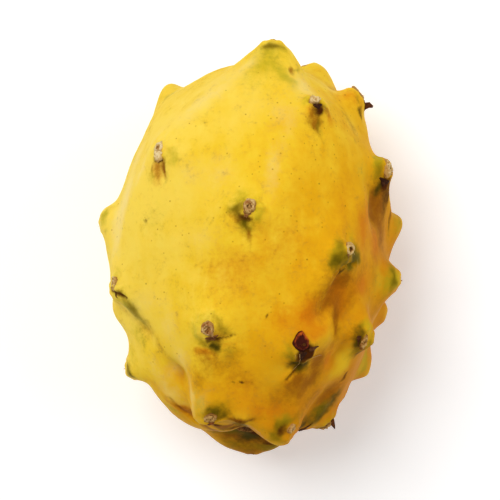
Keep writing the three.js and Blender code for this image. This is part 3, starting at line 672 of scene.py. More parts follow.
def raised(points, normals, creaseLines):
    form = skinForm
    lift = form["unevenHeight"] * noiseAt(points, form["unevenSize"])
    lift += form["dimpleHeight"] * noiseAt(points, form["dimpleSize"], 5.0)
    for number, spot in enumerate(spots.values()):
        u, v, w = fromSpot(points, spot)
        radius = np.sqrt(u * u + (form["collarSquash"] * v) ** 2 + w * w)
        lift += form["collarHeight"] * np.exp(-((radius - form["collarRadius"]) / form["collarWidth"]) ** 2)
        fold = form["foldHeight"] * np.cos(form["foldCount"] * np.arctan2(v, u) + number)
        lift += fold * np.exp(-((radius - form["collarRadius"] - form["foldStart"]) / form["foldReach"]) ** 2)
    for crease, off in creaseLines:
        lift -= crease["depth"] * np.exp(-(off / crease["width"]) ** 2)
        lift += crease["lip"] * np.exp(-((off - 2 * crease["width"]) / crease["width"]) ** 2)
    lift *= smooth(points[:, 2], *form["restFade"])
    points = points + normals * lift[:, None]
    points[:, 2] = np.maximum(points[:, 2], 0)
    return points


def offCrease(points, tree, path):
    places = [seenFromAbove(tree, *place)[0] for place in path]
    lines = [np.linalg.norm(fromLine(points, *ends), axis=1) for ends in zip(places, places[1:])]
    return np.min(lines, axis=0)


def markShare(points, place, normal, along, kind, halfLong, halfShort):
    ahead = unit(along - normal * (along @ normal))
    aside = np.cross(normal, ahead)
    offset = points - place
    parts = (offset @ ahead / halfLong, offset @ aside / halfShort, offset @ normal / halfLong)
    return np.exp(-np.sqrt(sum(part * part for part in parts)) ** edgeOf[kind])


def stainAndPaintedLightLayers(points, tree, creaseLines):
    layers = {kind: np.ones(len(points)) for kind in edgeOf}
    truePoints = points
    wobble = [noiseAt(points, markWobble["size"], shift) for shift in markWobble["shifts"]]
    points = points + markWobble["amount"] * np.stack(wobble, 1)
    for kind, places in marks.items():
        for x, y, halfLong, halfShort, turn, strength in places:
            place, normal = seenFromAbove(tree, x, y)
            along = np.array([math.cos(math.radians(turn)), math.sin(math.radians(turn)), 0])
            layers[kind] *= 1 - strength * markShare(points, place, normal, along, kind, halfLong, halfShort)
    dice = random.Random(commonVary["seed"])
    for name, spot in spots.items():
        for kind, *sizes, turn, strength in commonMarks:
            right, down, halfLong, halfShort, strength = (
                value * dice.uniform(*commonVary["size"]) for value in (*sizes, strength))
            if name in ownMarks:
                continue
            place, normal = besideSpot(tree, spot, right, down)
            angle = math.radians(turn + dice.uniform(-commonVary["turn"], commonVary["turn"]))
            along = spot["right"] * math.cos(angle) + spot["down"] * math.sin(angle)
            share = markShare(points, place, normal, along, kind, halfLong, halfShort)
            layers[kind] *= 1 - min(strength, 1) * share
    for crease, off in creaseLines:
        layers["brown"] *= 1 - crease["brown"] * np.exp(-(off / crease["width"]) ** 2)
    layers = {kind: 1 - kept for kind, kept in layers.items()}
    # Ripening, partly painted shade: amber towards the right, the stem end and the underside.
    x, y, z = truePoints.T
    ripeAndShade = ripeningAndShade["middle"] + ripeningAndShade["right"] * x - ripeningAndShade["flower"] * y
    ripeAndShade += ripeningAndShade["stem"] * smooth(-y, *ripeningAndShade["stemFrom"])
    ripeAndShade -= ripeningAndShade["flowerRight"] * x * np.maximum(y, 0)
    ripeAndShade -= ripeningAndShade["up"] * (z - body["axisHeight"])
    layers["ripeAndShade"] = np.clip(ripeAndShade, 0, 1)
    layers["dotted"] = np.full(len(x), speckForm["least"])
    for speckX, speckY, radius, strength in speckled:
        near = np.exp(-((x - speckX) ** 2 + (y - speckY) ** 2) / radius ** 2)
        layers["dotted"] += strength * near * (z > speckForm["above"])
    return layers


skinLook = {
    # pale to amber make the ripening ramp: its pale end is partly painted light, its amber end partly painted
    # shade.
    "pale": colour(248, 213, 80),
    "lemon": colour(242, 200, 46),
    "golden": colour(232, 172, 22),
    "amber": colour(206, 130, 14),
    # Painted sheen: the pale colour of the cream highlights.
    "creamSheenColour": colour(249, 220, 124),
    "flush": colour(214, 122, 14),
    "earth": colour(152, 88, 12),
    # Painted shade: the darker amber of the hollows.
    "hollowShadeColour": colour(182, 110, 12),
    # crest also colours the painted highlight on convex crests and the painted light of the gold marks.
    "crest": colour(230, 184, 36),
    "halo": colour(176, 160, 26),
    "olive": colour(126, 104, 12),
    "moss": colour(74, 62, 8),
    "bark": colour(78, 38, 10),
    "speck": colour(180, 122, 8),
    "fleck": colour(140, 96, 12),
    "roughness": 0.42,
    "gloss": 0.015,
    "glossTint": colour(255, 226, 150),
    "subsurface": 0.12,
    "subsurfaceReach": (0.004, 0.002, 0.0006),
}

# Tints in the order that they lie: mask, colour, raggedness, where it begins and where it is full. The gold
# tint is painted light and the cream tint painted sheen.
lowTints = [("goldPaintedLight", "crest", 0.5, 0.0, 1.0), ("creamSheen", "creamSheenColour", 0.5, 0.0, 1.0),
            ("orange", "flush", 0.5, 0.0, 1.0), ("umber", "earth", 0.6, 0.0, 1.05),
            ("green", "halo", 0.45, 0.0, 1.0)]
highTints = [("olive", "olive", 0.4, 0.0, 1.0), ("moss", "moss", 0.45, 0.05, 1.0),
             ("brown", "bark", 0.5, 0.05, 0.95)]
dotKinds = [(0.0016, 0.2, 0.75, "speck"), (0.0034, 0.1, 0.7, "fleck")]  # spacing, radius, share, colour


def skinMaterial():
    look = skinLook
    material, tree, shader, where = newMaterial("waxy peel")
    layer = {name: attributeNode(tree, name) for name in ("ripeAndShade", "dotted", "hollowShade", "crown", *edgeOf)}
    along = addNode(tree, "Mapping", {"Vector": where, "Scale": (1.0, 0.28, 1.0)}).outputs["Vector"]
    broad = noiseNode(tree, where, 0.016, 3, 0.5, 0.6)
    streak = noiseNode(tree, along, 0.0035, 4, 0.6, 0.3)
    blotch = noiseNode(tree, where, 0.0045, 4, 0.6, 0.4)
    fine = noiseNode(tree, where, 0.0011, 4, 0.65)

    def centred(value, amount):
        return calc(tree, "MULTIPLY", calc(tree, "SUBTRACT", value, 0.5), amount)

    # The ripening ramp from pale to amber, partly painted shade.
    ripeAndShade = layer["ripeAndShade"]
    for value, amount in ((broad, 0.5), (blotch, 0.3), (streak, 0.3), (fine, 0.12)):
        ripeAndShade = calc(tree, "ADD", ripeAndShade, centred(value, amount))
    peel = rampNode(tree, ripeAndShade, [(0.0, look["pale"]), (0.25, look["lemon"]), (0.5, look["golden"]),
                                 (1.0, look["amber"])])

    def broken(kind, amount, low, high):
        ragged = calc(tree, "ADD", centred(blotch, amount), centred(fine, amount))
        return stepNode(tree, calc(tree, "ADD", layer[kind], ragged), low, high)

    def tinted(peel, tints):
        for kind, shade, *edges in tints:
            peel = mixNode(tree, broken(kind, *edges), peel, look[shade])
        return peel

    # Painted shade: hollows take a darker amber.
    peel = tinted(peel, [("hollowShade", "hollowShadeColour", 0.4, 0.1, 1.5)])
    # Painted highlight: convex crests take the lighter crest colour.
    crown = calc(tree, "MULTIPLY", broken("crown", 0.4, 0.2, 1.2), stepNode(tree, ripeAndShade, 0.35, 0.8, 0.8))
    peel = mixNode(tree, crown, peel, look["crest"])
    peel = tinted(peel, lowTints)
    for size, radius, share, shade in dotKinds:
        cells = addNode(tree, "TexVoronoi", {"Vector": where, "Scale": 1 / size, "Randomness": 1.0})
        chance = addNode(tree, "SeparateColor", {0: cells.outputs["Color"]}).outputs[0]
        kept = calc(tree, "LESS_THAN", chance, calc(tree, "MULTIPLY", layer["dotted"], share))
        disc = stepNode(tree, cells.outputs["Distance"], radius, radius * 0.3, 0.7)
        peel = mixNode(tree, calc(tree, "MULTIPLY", disc, kept), peel, look[shade])
    rough = calc(tree, "ADD", stepNode(tree, blotch, 0.2, 0.9, 0.14), look["roughness"])
    rough = calc(tree, "ADD", rough, calc(tree, "MULTIPLY", layer["brown"], 0.3))
    wax = noiseNode(tree, where, 0.0006, 3, 0.6)
    height = calc(tree, "ADD", calc(tree, "MULTIPLY", wax, 0.25), calc(tree, "MULTIPLY", fine, 0.6))
    setInputs(tree, shader, {
        "Base Color": tinted(peel, highTints),
        "Roughness": rough,
        "Normal": bumpNode(tree, 0.4, height),
        "Specular IOR Level": look["gloss"],
        "Specular Tint": look["glossTint"],
        "Subsurface Weight": look["subsurface"],
        "Subsurface Radius": look["subsurfaceReach"],
        "Subsurface Scale": 1.0,
    })
    return material


def buildSkin():
    directions, faces = geodesicSphere()
    points = surfacePoints(crowded(directions))
    tree = BVHTree.FromPolygons(points.tolist(), faces.tolist())
    creaseLines = [(crease, offCrease(points, tree, crease["path"])) for crease in creases]
    layers = stainAndPaintedLightLayers(points, tree, creaseLines)
    normals = vertexNormals(points, faces)
    layers.update(hollowAndCrestShading(points, faces, normals))
    x, y, z = points.T
    # Painted shade: olive and moss darken the hollow under the stem end's lip.
    shaded = layers["hollowShade"] * smooth(-y, *lipShade["stem"]) * smooth(z - body["axisHeight"], *lipShade["up"])
    layers["olive"] = np.clip(layers["olive"] + lipShade["olive"] * shaded, 0, 1)
    layers["moss"] = np.clip(layers["moss"] + lipShade["moss"] * shaded * smooth(x, *lipShade["right"]), 0, 1)
    points = raised(points, normals, creaseLines)
    skin = makePiece("skin", points, faces.tolist(), skinMaterial(), layers)
    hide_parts("fruit")
    return BVHTree.FromPolygons(points.tolist(), faces.tolist())


skinTree = buildSkin()
print("skin built")

padForm = {
    "wide": 1.6, "tall": 1.95,  # half sizes, across and along the fruit
    "stand": 0.7,
    "depth": 0.5,  # of the pit
    "pit": 0.36,
    "pitAt": (0.1, 0.12),  # off the middle
    "rim": 0.66,
    "ragged": 0.34,
    "grain": 0.2,
    "cracks": 0.14,
    "pale": 0.3,
    "red": 0.35,
    "dark": 0.0,
    "pitDark": 0.4,
    "peak": 0.0,  # draws the upper edge out to a point
    "face": 0.0,  # turns the pad up
    "lean": 0.0,  # tilts its top to the right
    "crumbs": 5,
    "stubs": 2,
    "hairs": 4,
}

# Those that differ. at is the place as seen from straight above.
padForms = {
    "a": dict(stand=0.1, depth=0.1, dark=0.2, crumbs=0, stubs=0, hairs=0),
    "b": dict(stand=0.15, depth=0.1, crumbs=1, stubs=0, hairs=0),
    "d": dict(stand=0.3, crumbs=2, stubs=0, hairs=2),
    "s": dict(stand=0.3, dark=0.1, crumbs=2, stubs=0),
    "c": dict(at=(16.9, 40.5), wide=1.35, tall=1.2, pit=0.15, depth=0.2, pale=0.7, red=0.0, dark=-0.15,
              stubs=0, crumbs=3),
    "f": dict(at=(-24.7, 26.8), wide=1.35, tall=2.5, pit=0.4, pitAt=(0.0, -0.4), pale=0.95, red=0.0,
              dark=-0.2, crumbs=4, face=0.5, lean=-0.25),
    "h": dict(at=(-0.4, 12.2), wide=1.5, tall=2.0, pit=0.45, pitAt=(0.0, 0.1), pale=0.45, red=0.7, crumbs=8,
              pitDark=0.25),
    "k": dict(at=(26.3, 0.7), wide=1.5, tall=1.6, pit=0.45, depth=0.6, pitAt=(0.0, 0.05), pale=0.8, red=0.1,
              cracks=0.05, crumbs=2, stubs=0, face=1.2),
    "o": dict(at=(-11.8, -20.4), wide=1.6, tall=1.9, pit=0.6, pitAt=(0.2, 0.2), pale=0.65, red=0.8, crumbs=6,
              pitDark=0.2, ragged=0.25),
    "q": dict(at=(13.9, -25.4), wide=1.0, tall=1.0, stand=0.0, dark=0.75, pale=0.0, red=0.6, hairs=6, stubs=0,
              crumbs=3),
    "m": dict(at=(-36.7, -8.6), wide=1.0, tall=1.9, stand=0.35, pale=0.7, red=0.1, crumbs=6, stubs=0),
    "v": dict(at=(-11.0, -44.6), wide=1.5, tall=1.1, stand=0.35, pit=0.1, depth=0.2, cracks=0.25, dark=0.15,
              pale=0.4, red=0.0, crumbs=7, stubs=0),
    "w": dict(at=(10.8, -47.2), wide=1.25, tall=1.15, pit=0.1, stand=0.45, pale=0.4, red=0.5, crumbs=2,
              stubs=0),
    "p": dict(at=(30.0, -23.9), wide=0.9, tall=2.1, pit=0.15, pale=0.15, dark=0.12, red=0.6, crumbs=2,
              stubs=0),
    "y": dict(stand=0.0, dark=0.5, crumbs=0, stubs=0, hairs=0),
    "g": dict(at=(36.6, 22.2), wide=1.15, tall=2.0, ragged=0.6, grain=0.4, pale=0.6, red=0.1, dark=-0.1,
              crumbs=16),
}
padVary = {"seed": 11, "keys": ("wide", "tall", "pale", "red", "pit"), "size": (0.8, 1.2)}
padShade = {"low": 0.42, "rise": 0.55, "from": -0.8, "to": 0.3, "crack": 0.3}
pressed = {"below": 3, "facing": -0.5, "stand": 0.15}  # the pads that the fruit lies on
floorGap = 0.02

# What lies on a pad. strewn is how far from its middle each kind starts, as shares of its half sizes.
strewn = {"crumbs": (0.4, 1.0), "stubs": (0.1, 0.6), "hairs": (0.5, 1.05)}
crumbForm = {"wide": (0.2, 0.5), "high": (0.12, 0.25), "uneven": 0.5, "shapes": (0, 50)}
stubForm = {"long": (0.3, 0.8), "thick": (0.12, 0.2), "root": 0.5, "taper": (1.3, 1.2, 1.0, 0.6)}
hairForm = {"long": (0.4, 0.8), "root": 0.3, "droop": 0.5, "radii": (0.05, 0.05, 0.04, 0.015)}
strewnTone = (0.25, 0.9)

# The cork's unevenness: noise sizes, the finer one's share at the edge and on the face, and the cracks.
corkGrain = {"coarse": 0.9, "fine": 0.35, "edgeFine": 0.4, "faceFine": 0.7, "crackSize": 0.75,
             "crackWidth": 0.09, "inner": 0.97}

# Dry threads that lie on the skin, as seen from straight above.
fibres = [
    dict(path=[(12.9, -27.2), (13.0, -28.6), (12.8, -29.8)], radii=[0.05, 0.09, 0.03], lift=0.15, tone=0.7,
         pale=0.5),
    dict(path=[(12.7, -29.7), (11.9, -30.6), (11.0, -31.5)], radii=[0.08, 0.07, 0.03], lift=0.15, tone=0.7,
         pale=0.5),
    dict(path=[(11.8, -27.4), (11.9, -28.6)], radii=[0.05, 0.03], lift=0.15, tone=0.6, pale=0.4),
    dict(path=[(16.2, -28.2), (17.6, -27.6), (18.8, -27.4)], radii=[0.1, 0.1, 0.04], lift=0.15, tone=0.6,
         pale=0.4),
]


def drapedPath(path, lift):
    points = []
    for place in path:
        point, normal = seenFromAbove(skinTree, *place)
        points.append(point + normal * lift)
    return points


def smoothProfile(profile, rings):
    steps, knots = np.linspace(0, len(profile) - 1, rings), np.arange(len(profile))
    rows = np.stack([np.interp(steps, knots, values) for values in np.array(profile, float).T])
    rows[:, 1:-1] = (rows[:, :-2] + rows[:, 1:-1] * 2 + rows[:, 2:]) / 4
    return rows


def corkNoise(points, fineShare, coarseShift, fineShift):
    coarse = noiseAt(points, corkGrain["coarse"], coarseShift)
    return coarse + fineShare * noiseAt(points, corkGrain["fine"], fineShift)


def turnedFaces(sectors, rows):
    first, last = rows * sectors, rows * sectors + 1
    faces = []
    for k in range(sectors):
        n = (k + 1) % sectors
        faces.append((first, k, n))
        faces.append((last, (rows - 1) * sectors + n, (rows - 1) * sectors + k))
        for row in range(rows - 1):
            inner, outer = row * sectors, (row + 1) * sectors
            faces.append((inner + k, outer + k, outer + n, inner + n))
    return faces


def turnedMesh(spot, profile, form, wide, tall, seed, sectors=44, rings=26):
    radii, heights = smoothProfile(profile, rings)
    angles = np.linspace(0, 2 * math.pi, sectors, endpoint=False)
    radius, angle = np.meshgrid(radii[1:-1], angles, indexing="ij")
    height = np.repeat(heights[1:-1, None], sectors, 1)
    largest = radii.max()
    around = np.stack([np.cos(angle), np.sin(angle), height * 0.3], -1).reshape(-1, 3)
    edge = 1 + form["ragged"] * corkNoise(around, corkGrain["edgeFine"], seed * 3.7, seed * 1.9)
    share = radius / largest
    edge = 1 + (edge.reshape(radius.shape) - 1) * np.minimum(share * 1.6, 1)
    inward = np.clip(1 - share, 0, 1)
    u = (radius * np.cos(angle) * edge + form["pitAt"][0] * inward * largest) * wide
    v = (form["pitAt"][1] * inward * largest - radius * np.sin(angle) * edge) * tall
    upper = form.get("peak", 0) * np.clip(np.sin(angle), 0, 1) ** 2 * share
    u, v = u * (1 - 0.7 * upper), v * (1 + upper)
    flat = np.stack([u, v, height], -1).reshape(-1, 3)
    rough = form["grain"] * corkNoise(flat, corkGrain["faceFine"], seed * 1.3, seed * 2.1)
    crack = np.exp(-(noiseAt(flat, corkGrain["crackSize"], seed * 4.3) / corkGrain["crackWidth"]) ** 2)
    inside = (share < corkGrain["inner"]).reshape(-1)
    height = height.reshape(-1) + (rough - form["cracks"] * crack) * inside
    ends = np.array([[form["pitAt"][0] * largest * wide, form["pitAt"][1] * largest * tall, heights[0]],
                     [0, 0, heights[-1]]])
    local = np.concatenate([np.stack([u.reshape(-1), v.reshape(-1), height], 1), ends])
    points = spot["place"] + local @ np.stack([spot["right"], spot["down"], spot["out"]])
    height = np.append(height, ends[:, 2])
    crack = np.append(crack * inside, (0, 0))
    share = np.append(share.reshape(-1), (0, 1))
    return points, turnedFaces(sectors, rings - 2), height, crack, share


def newHeap():
    return {"points": [], "faces": [], "count": 0, "layers": {"tone": [], "pale": [], "red": []}}


def addTo(heap, points, faces, **layers):
    base = heap["count"]
    heap["points"].append(points)
    heap["faces"] += [tuple(base + corner for corner in face) for face in faces]
    heap["count"] += len(points)
    for name, values in layers.items():
        heap["layers"][name].append(np.broadcast_to(np.asarray(values, float), len(points)))


def heapPiece(name, heap, material):
    layers = {layer: np.concatenate(values) for layer, values in heap["layers"].items()}
    makePiece(name, np.concatenate(heap["points"]), heap["faces"], material, layers)


def padSpot(name, form):
    spot = spots[name]
    if "at" not in form:
        place, normal = besideSpot(skinTree, spot, 0, 0)
        return {**spot, "place": place}
    place, normal = seenFromAbove(skinTree, *form["at"])
    out = spot["out"] + normal + np.array([0, 0, form["face"]])
    return spotFrame(place, out, spot["right"] * form["lean"] - spot["down"])


woodLook = {
    "cork": [(0.0, colour(70, 40, 14)), (0.3, colour(136, 90, 36)), (0.6, colour(184, 138, 70)),
             (1.0, colour(214, 178, 110))],
    "light": [(0.0, colour(84, 50, 20)), (0.3, colour(164, 118, 58)), (0.6, colour(208, 170, 102)),
              (1.0, colour(236, 212, 158))],
    "blush": colour(154, 86, 34),
    "roughness": 0.8,
    "gloss": 0.06,
}


def woodMaterial(name):
    material, tree, shader, where = newMaterial(name)
    tone, pale, red = (attributeNode(tree, layer) for layer in ("tone", "pale", "red"))
    grain = noiseNode(tree, where, 0.0006, 5, 0.7)
    cloud = noiseNode(tree, where, 0.0018, 3, 0.5)
    height = calc(tree, "ADD", tone, calc(tree, "MULTIPLY", calc(tree, "SUBTRACT", grain, 0.5), 0.7))
    cork = rampNode(tree, height, woodLook["cork"])
    light = rampNode(tree, height, woodLook["light"])
    cork = mixNode(tree, pale, cork, light)
    blush = calc(tree, "MULTIPLY", red, stepNode(tree, cloud, 0.35, 0.7))
    cork = mixNode(tree, blush, cork, woodLook["blush"])
    setInputs(tree, shader, {
        "Base Color": cork,
        "Roughness": woodLook["roughness"],
        "Specular IOR Level": woodLook["gloss"],
        "Normal": bumpNode(tree, 0.6, grain),
    })
    return material


def lump(place, spot, size, seed):
    shape = bmesh.new()
    bmesh.ops.create_icosphere(shape, subdivisions=2, radius=1)
    local = np.array([vertex.co for vertex in shape.verts])
    faces = [tuple(vertex.index for vertex in face.verts) for face in shape.faces]
    shape.free()
    local = local * (1 + crumbForm["uneven"] * noiseAt(local, corkGrain["coarse"], seed))[:, None] * size
    return place + local @ np.stack([spot["right"], -spot["down"], spot["out"]]), faces


def tubeMesh(path, radii, sides):
    points, faces = [], []
    path = np.array(path)
    for k, (place, radius) in enumerate(zip(path, radii)):
        way = unit(path[min(k + 1, len(path) - 1)] - path[max(k - 1, 0)])
        aside = unit(np.cross(way, (0.3, 0.5, 0.81)))
        above = np.cross(way, aside)
        for side in range(sides):
            angle = 2 * math.pi * side / sides
            points.append(place + radius * (aside * math.cos(angle) + above * math.sin(angle)))
    for k in range(len(path) - 1):
        for side in range(sides):
            n = (side + 1) % sides
            faces.append((k * sides + side, k * sides + n, (k + 1) * sides + n, (k + 1) * sides + side))
    faces.append(tuple(range(sides))[::-1])
    faces.append(tuple(range((len(path) - 1) * sides, len(path) * sides)))
    return np.array(points), faces


def crumb(place, here, tilt, dice):
    wide, long, high = (dice.uniform(*crumbForm[key]) for key in ("wide", "wide", "high"))
    return lump(place, here, np.array([wide, long, high]), dice.uniform(*crumbForm["shapes"]))


def stub(place, here, tilt, dice):
    long, thick = dice.uniform(*stubForm["long"]), dice.uniform(*stubForm["thick"])
    path = [place - tilt * stubForm["root"], place, place + tilt * long * 0.6, place + tilt * long]
    return tubeMesh(path, [thick * share for share in stubForm["taper"]], 6)


def hair(place, here, tilt, dice):
    long = dice.uniform(*hairForm["long"])
    bend = here["down"] * hairForm["droop"] * long
    path = [place - tilt * hairForm["root"], place + tilt * 0.4 * long,
            place + tilt * 0.75 * long + bend * 0.3, place + tilt * long + bend]
    return tubeMesh(path, hairForm["radii"], 3)


def strew(heap, kind, make, here, form, stand, dice):
    for k in range(form[kind]):
        angle = dice.uniform(0, 2 * math.pi)
        far = {each: dice.uniform(*span) for each, span in strewn.items()}[kind]
        side = here["right"] * math.cos(angle) * form["wide"] - here["down"] * math.sin(angle) * form["tall"]
        place = here["place"] + side * far + here["out"] * stand * (1 - 0.6 * far)
        tilt = unit(here["out"] * dice.uniform(0.4, 1.0) + unit(side) * dice.uniform(0.0, 1.1))
        points, faces = make(place, here, tilt, dice)
        points[:, 2] = np.maximum(points[:, 2], floorGap)
        tone = dice.uniform(*strewnTone) - form["dark"]
        addTo(heap, points, faces, tone=tone, pale=form["pale"], red=form["red"])


def padProfile(form, stand):
    pit, rim, depth = form["pit"], form["rim"], form["depth"]
    return [(0, stand - depth), (pit * 0.6, stand - depth * 0.95), (pit, stand - 0.2), (rim * 0.9, stand),
            (rim * 1.15, stand * 0.9), (0.95, stand * 0.4), (1.08, -0.35), (0.9, -1.1), (0, -1.4)]


def padTone(form, stand, height, crack, share):
    shade = padShade
    tone = shade["low"] + shade["rise"] * smooth(height, stand + shade["from"], stand + shade["to"])
    tone = tone - shade["crack"] * crack - form["dark"]
    return tone - form["pitDark"] * smooth(share, form["pit"] * 1.1, form["pit"] * 0.7)


def buildPads():
    wood = woodMaterial("woody pad")
    pads, stubs, felt = newHeap(), newHeap(), newHeap()
    dice = random.Random(padVary["seed"])
    for number, name in enumerate(spots):
        vary = {key: padForm[key] * dice.uniform(*padVary["size"]) for key in padVary["keys"]}
        form = {**padForm, **vary, **padForms.get(name, {})}
        here = padSpot(name, form)
        liesOn = here["place"][2] < pressed["below"] and here["out"][2] < pressed["facing"]
        stand = pressed["stand"] if liesOn else form["stand"]
        points, faces, height, crack, share = turnedMesh(here, padProfile(form, stand), form, form["wide"],
                                                         form["tall"], number)
        points[:, 2] = np.maximum(points[:, 2], floorGap)
        red = form["red"] * (0.5 + np.exp(-((share - form["pit"] * 1.1) / 0.2) ** 2))
        addTo(pads, points, faces, tone=padTone(form, stand, height, crack, share), pale=form["pale"],
              red=np.minimum(red, 1))
        for kind, make, heap in (("crumbs", crumb, stubs), ("stubs", stub, stubs), ("hairs", hair, felt)):
            strew(heap, kind, make, here, form, stand, dice)
    for fibre in fibres:
        path, radii = drapedPath(fibre["path"], fibre["lift"]), fibre["radii"]
        addTo(felt, *tubeMesh(path, radii, 6), tone=fibre["tone"], pale=fibre["pale"], red=0.2)
    for name, heap in (("pads", pads), ("spineStubs", stubs), ("felt", felt)):
        heapPiece(name, heap, wood)


buildPads()
print("pads built")

# spare is drawn with the rest and not used, so that the draws after it stay as they are.
scaleForm = {"length": 2.0, "wide": 1.5, "lift": 0.25, "tipLift": 0.1, "spare": 1.0, "point": 0.7,
             "warm": 0.2, "tone": 0.35, "ragged": 0.4}
scaleVary = {"seed": 23, "size": (0.8, 1.2), "right": (-0.3, 0.3), "down": 1.4, "red": (0, 0.4)}
scaleMake = {"rows": 10, "columns": 9, "wave": 0.15, "sunk": 0.5, "least": 0.04, "rayStart": 5,
             "rayLength": 14, "clear": 2.5}  # none grow on tips that are closer to the floor than clear

# Where one shows from above: its root, the way it points, and what differs.
shownScales = [
    dict(at=(17.6, 39.3), turn=-76, length=1.5, wide=1.3, tipLift=0.2, tone=0.05, ragged=0.8),
    dict(at=(-0.9, 10.7), turn=-112, length=1.5, wide=1.1, tone=0.6, ragged=0.9, point=0.4),
    dict(at=(-10.8, -22.6), turn=-84, length=1.8, wide=1.8, tone=0.4),
    dict(at=(-11.0, -21.2), turn=-62, length=2.4, wide=0.7, lift=0.45, warm=0.1, tone=0.85),
    dict(at=(-24.8, 24.9), turn=-88, length=0.9, wide=1.6, tipLift=0.3, warm=0.6, tone=0.4),
    dict(at=(26.0, -0.7), turn=-96, length=0.8, wide=1.0, lift=0.15, tone=0.6, warm=0.1),
    dict(at=(35.6, 19.4), turn=-110, length=2.0, wide=2.2, lift=0.5, tone=0.0),
    dict(at=(15.4, -26.2), turn=14, length=2.8, wide=0.6, lift=0.4, tipLift=0.3, tone=0.2),
    dict(at=(13.9, -26.6), turn=-92, length=2.2, wide=1.1, tone=0.0, ragged=0.8, point=0.4),
    dict(at=(-36.6, -10.2), turn=-22, length=2.2, wide=0.4, tone=0.2),
    dict(at=(12.6, -47.6), turn=14, length=3.6, wide=0.8, tone=0.2, warm=0.3),
    dict(at=(28.8, -22.4), turn=-95, length=3.2, wide=0.6, tone=0.2),
    dict(at=(-11.0, -45.5), turn=-50, length=1.2, wide=1.6, warm=0.5, tone=0.45),
]
coveredScales = "achofkgqmwpv"  # these tubercles have theirs above, or show none

# A torn, flame-shaped cap over one pad, as seen from straight above: its hollow is dark, its rim glows.
# Its lower half is darker and sunk into the skin.
cap = {"at": (13.4, -24.3), "wide": 2.15, "tall": 2.0, "rim": 0.85, "floor": 0.25, "pitAt": (0.05, 0.1),
       "ragged": 0.2, "grain": 0.16, "cracks": 0.0, "peak": 0.6, "lower": (-1.0, 1.4), "sink": 0.5,
       "glow": 0.66, "lowerDark": 0.6, "dark": 0.15, "seed": 91}

# Scales that stand off the fruit: the points of each, from its root out, and the half widths.
horns = [
    dict(path=[(28.6, 37.6, 35.4), (30.0, 38.4, 35.8), (31.3, 38.7, 36.0), (32.3, 38.2, 36.0)],
         radii=[1.5, 0.95, 0.8, 0.3], flat=0.6),
    dict(path=[(20.2, -43.4, 39.6), (21.1, -45.0, 39.9), (21.6, -46.2, 40.0), (22.0, -47.2, 39.8)],
         radii=[1.1, 0.8, 0.5, 0.12], flat=0.6),
]


def scaleMesh(root, ahead, out, form, seed):
    make = scaleMake
    rows, columns = make["rows"], make["columns"]
    ahead = unit(ahead - out * (ahead @ out))
    aside = np.cross(out, ahead)
    top, under = [], []
    for row in range(rows):
        s = row / (rows - 1)
        bulge = 0.75 + 0.25 * math.sin(math.pi * min(s * 1.6, 1))
        half = form["wide"] * (1 - s ** 1.6 * form["point"]) * bulge
        for column in range(columns):
            t = 2 * column / (columns - 1) - 1
            wave = noise.noise(Vector((s * 3, t * 2.5, seed)))
            reach = s * form["length"] * (1 - 0.25 * t * t + form["ragged"] * wave * s)
            start = root + ahead * reach + aside * t * half + out * make["rayStart"]
            nearby = start - out * make["rayStart"]
            place, normal = onSkin(skinTree, start, -out, make["rayLength"], nearby)
            lift = form["lift"] + (form["tipLift"] - form["lift"]) * s + make["wave"] * wave
            edge = 1 - abs(t) ** 4
            top.append(place + normal * max(lift * (0.4 + 0.6 * edge), make["least"]))
            under.append(place - normal * make["sunk"])
    points = np.array(top + under)
    count = rows * columns
    faces = []
    for row in range(rows - 1):
        for column in range(columns - 1):
            a = row * columns + column
            quad = (a, a + 1, a + columns + 1, a + columns)
            faces.append(quad[::-1])
            faces.append(tuple(corner + count for corner in quad))
    border = list(range(columns)) + [row * columns + columns - 1 for row in range(1, rows)]
    border += [(rows - 1) * columns + column for column in range(columns - 2, -1, -1)]
    border += [row * columns for row in range(rows - 2, 0, -1)]
    for k, corner in enumerate(border):
        following = border[(k + 1) % len(border)]
        faces.append((corner, following, following + count, corner + count))
    return points, faces


def buildCap(heap):
    rim, bottom = cap["rim"], cap["floor"]
    profile = [(0, bottom), (0.35, bottom + 0.05), (0.62, bottom + 0.25), (0.82, rim), (0.92, rim * 0.9),
               (1.0, rim * 0.3), (1.06, -0.4), (0.9, -1.0), (0, -1.2)]
    place, normal = seenFromAbove(skinTree, *cap["at"])
    here = spotFrame(place, normal, -spots["q"]["down"])
    points, faces, height, crack, share = turnedMesh(here, profile, cap, cap["wide"], cap["tall"],
                                                     cap["seed"])
    lower = smooth(fromSpot(points, here)[1], *cap["lower"])
    points -= here["out"] * (cap["sink"] * lower * (height > 0))[:, None]
    tone = cap["glow"] * smooth(height, bottom + 0.15, rim) * (1 - cap["lowerDark"] * lower) - cap["dark"]
    addTo(heap, points, faces, tone=tone, pale=0, red=1)


def buildHorns(heap):
    for horn in horns:
        points, faces = tubeMesh(horn["path"], horn["radii"], 12)
        centre = np.array(horn["path"])[:, 2].mean()
        points[:, 2] = centre + (points[:, 2] - centre) * horn["flat"]
        addTo(heap, points, faces, tone=0.2, pale=0, red=0.3)


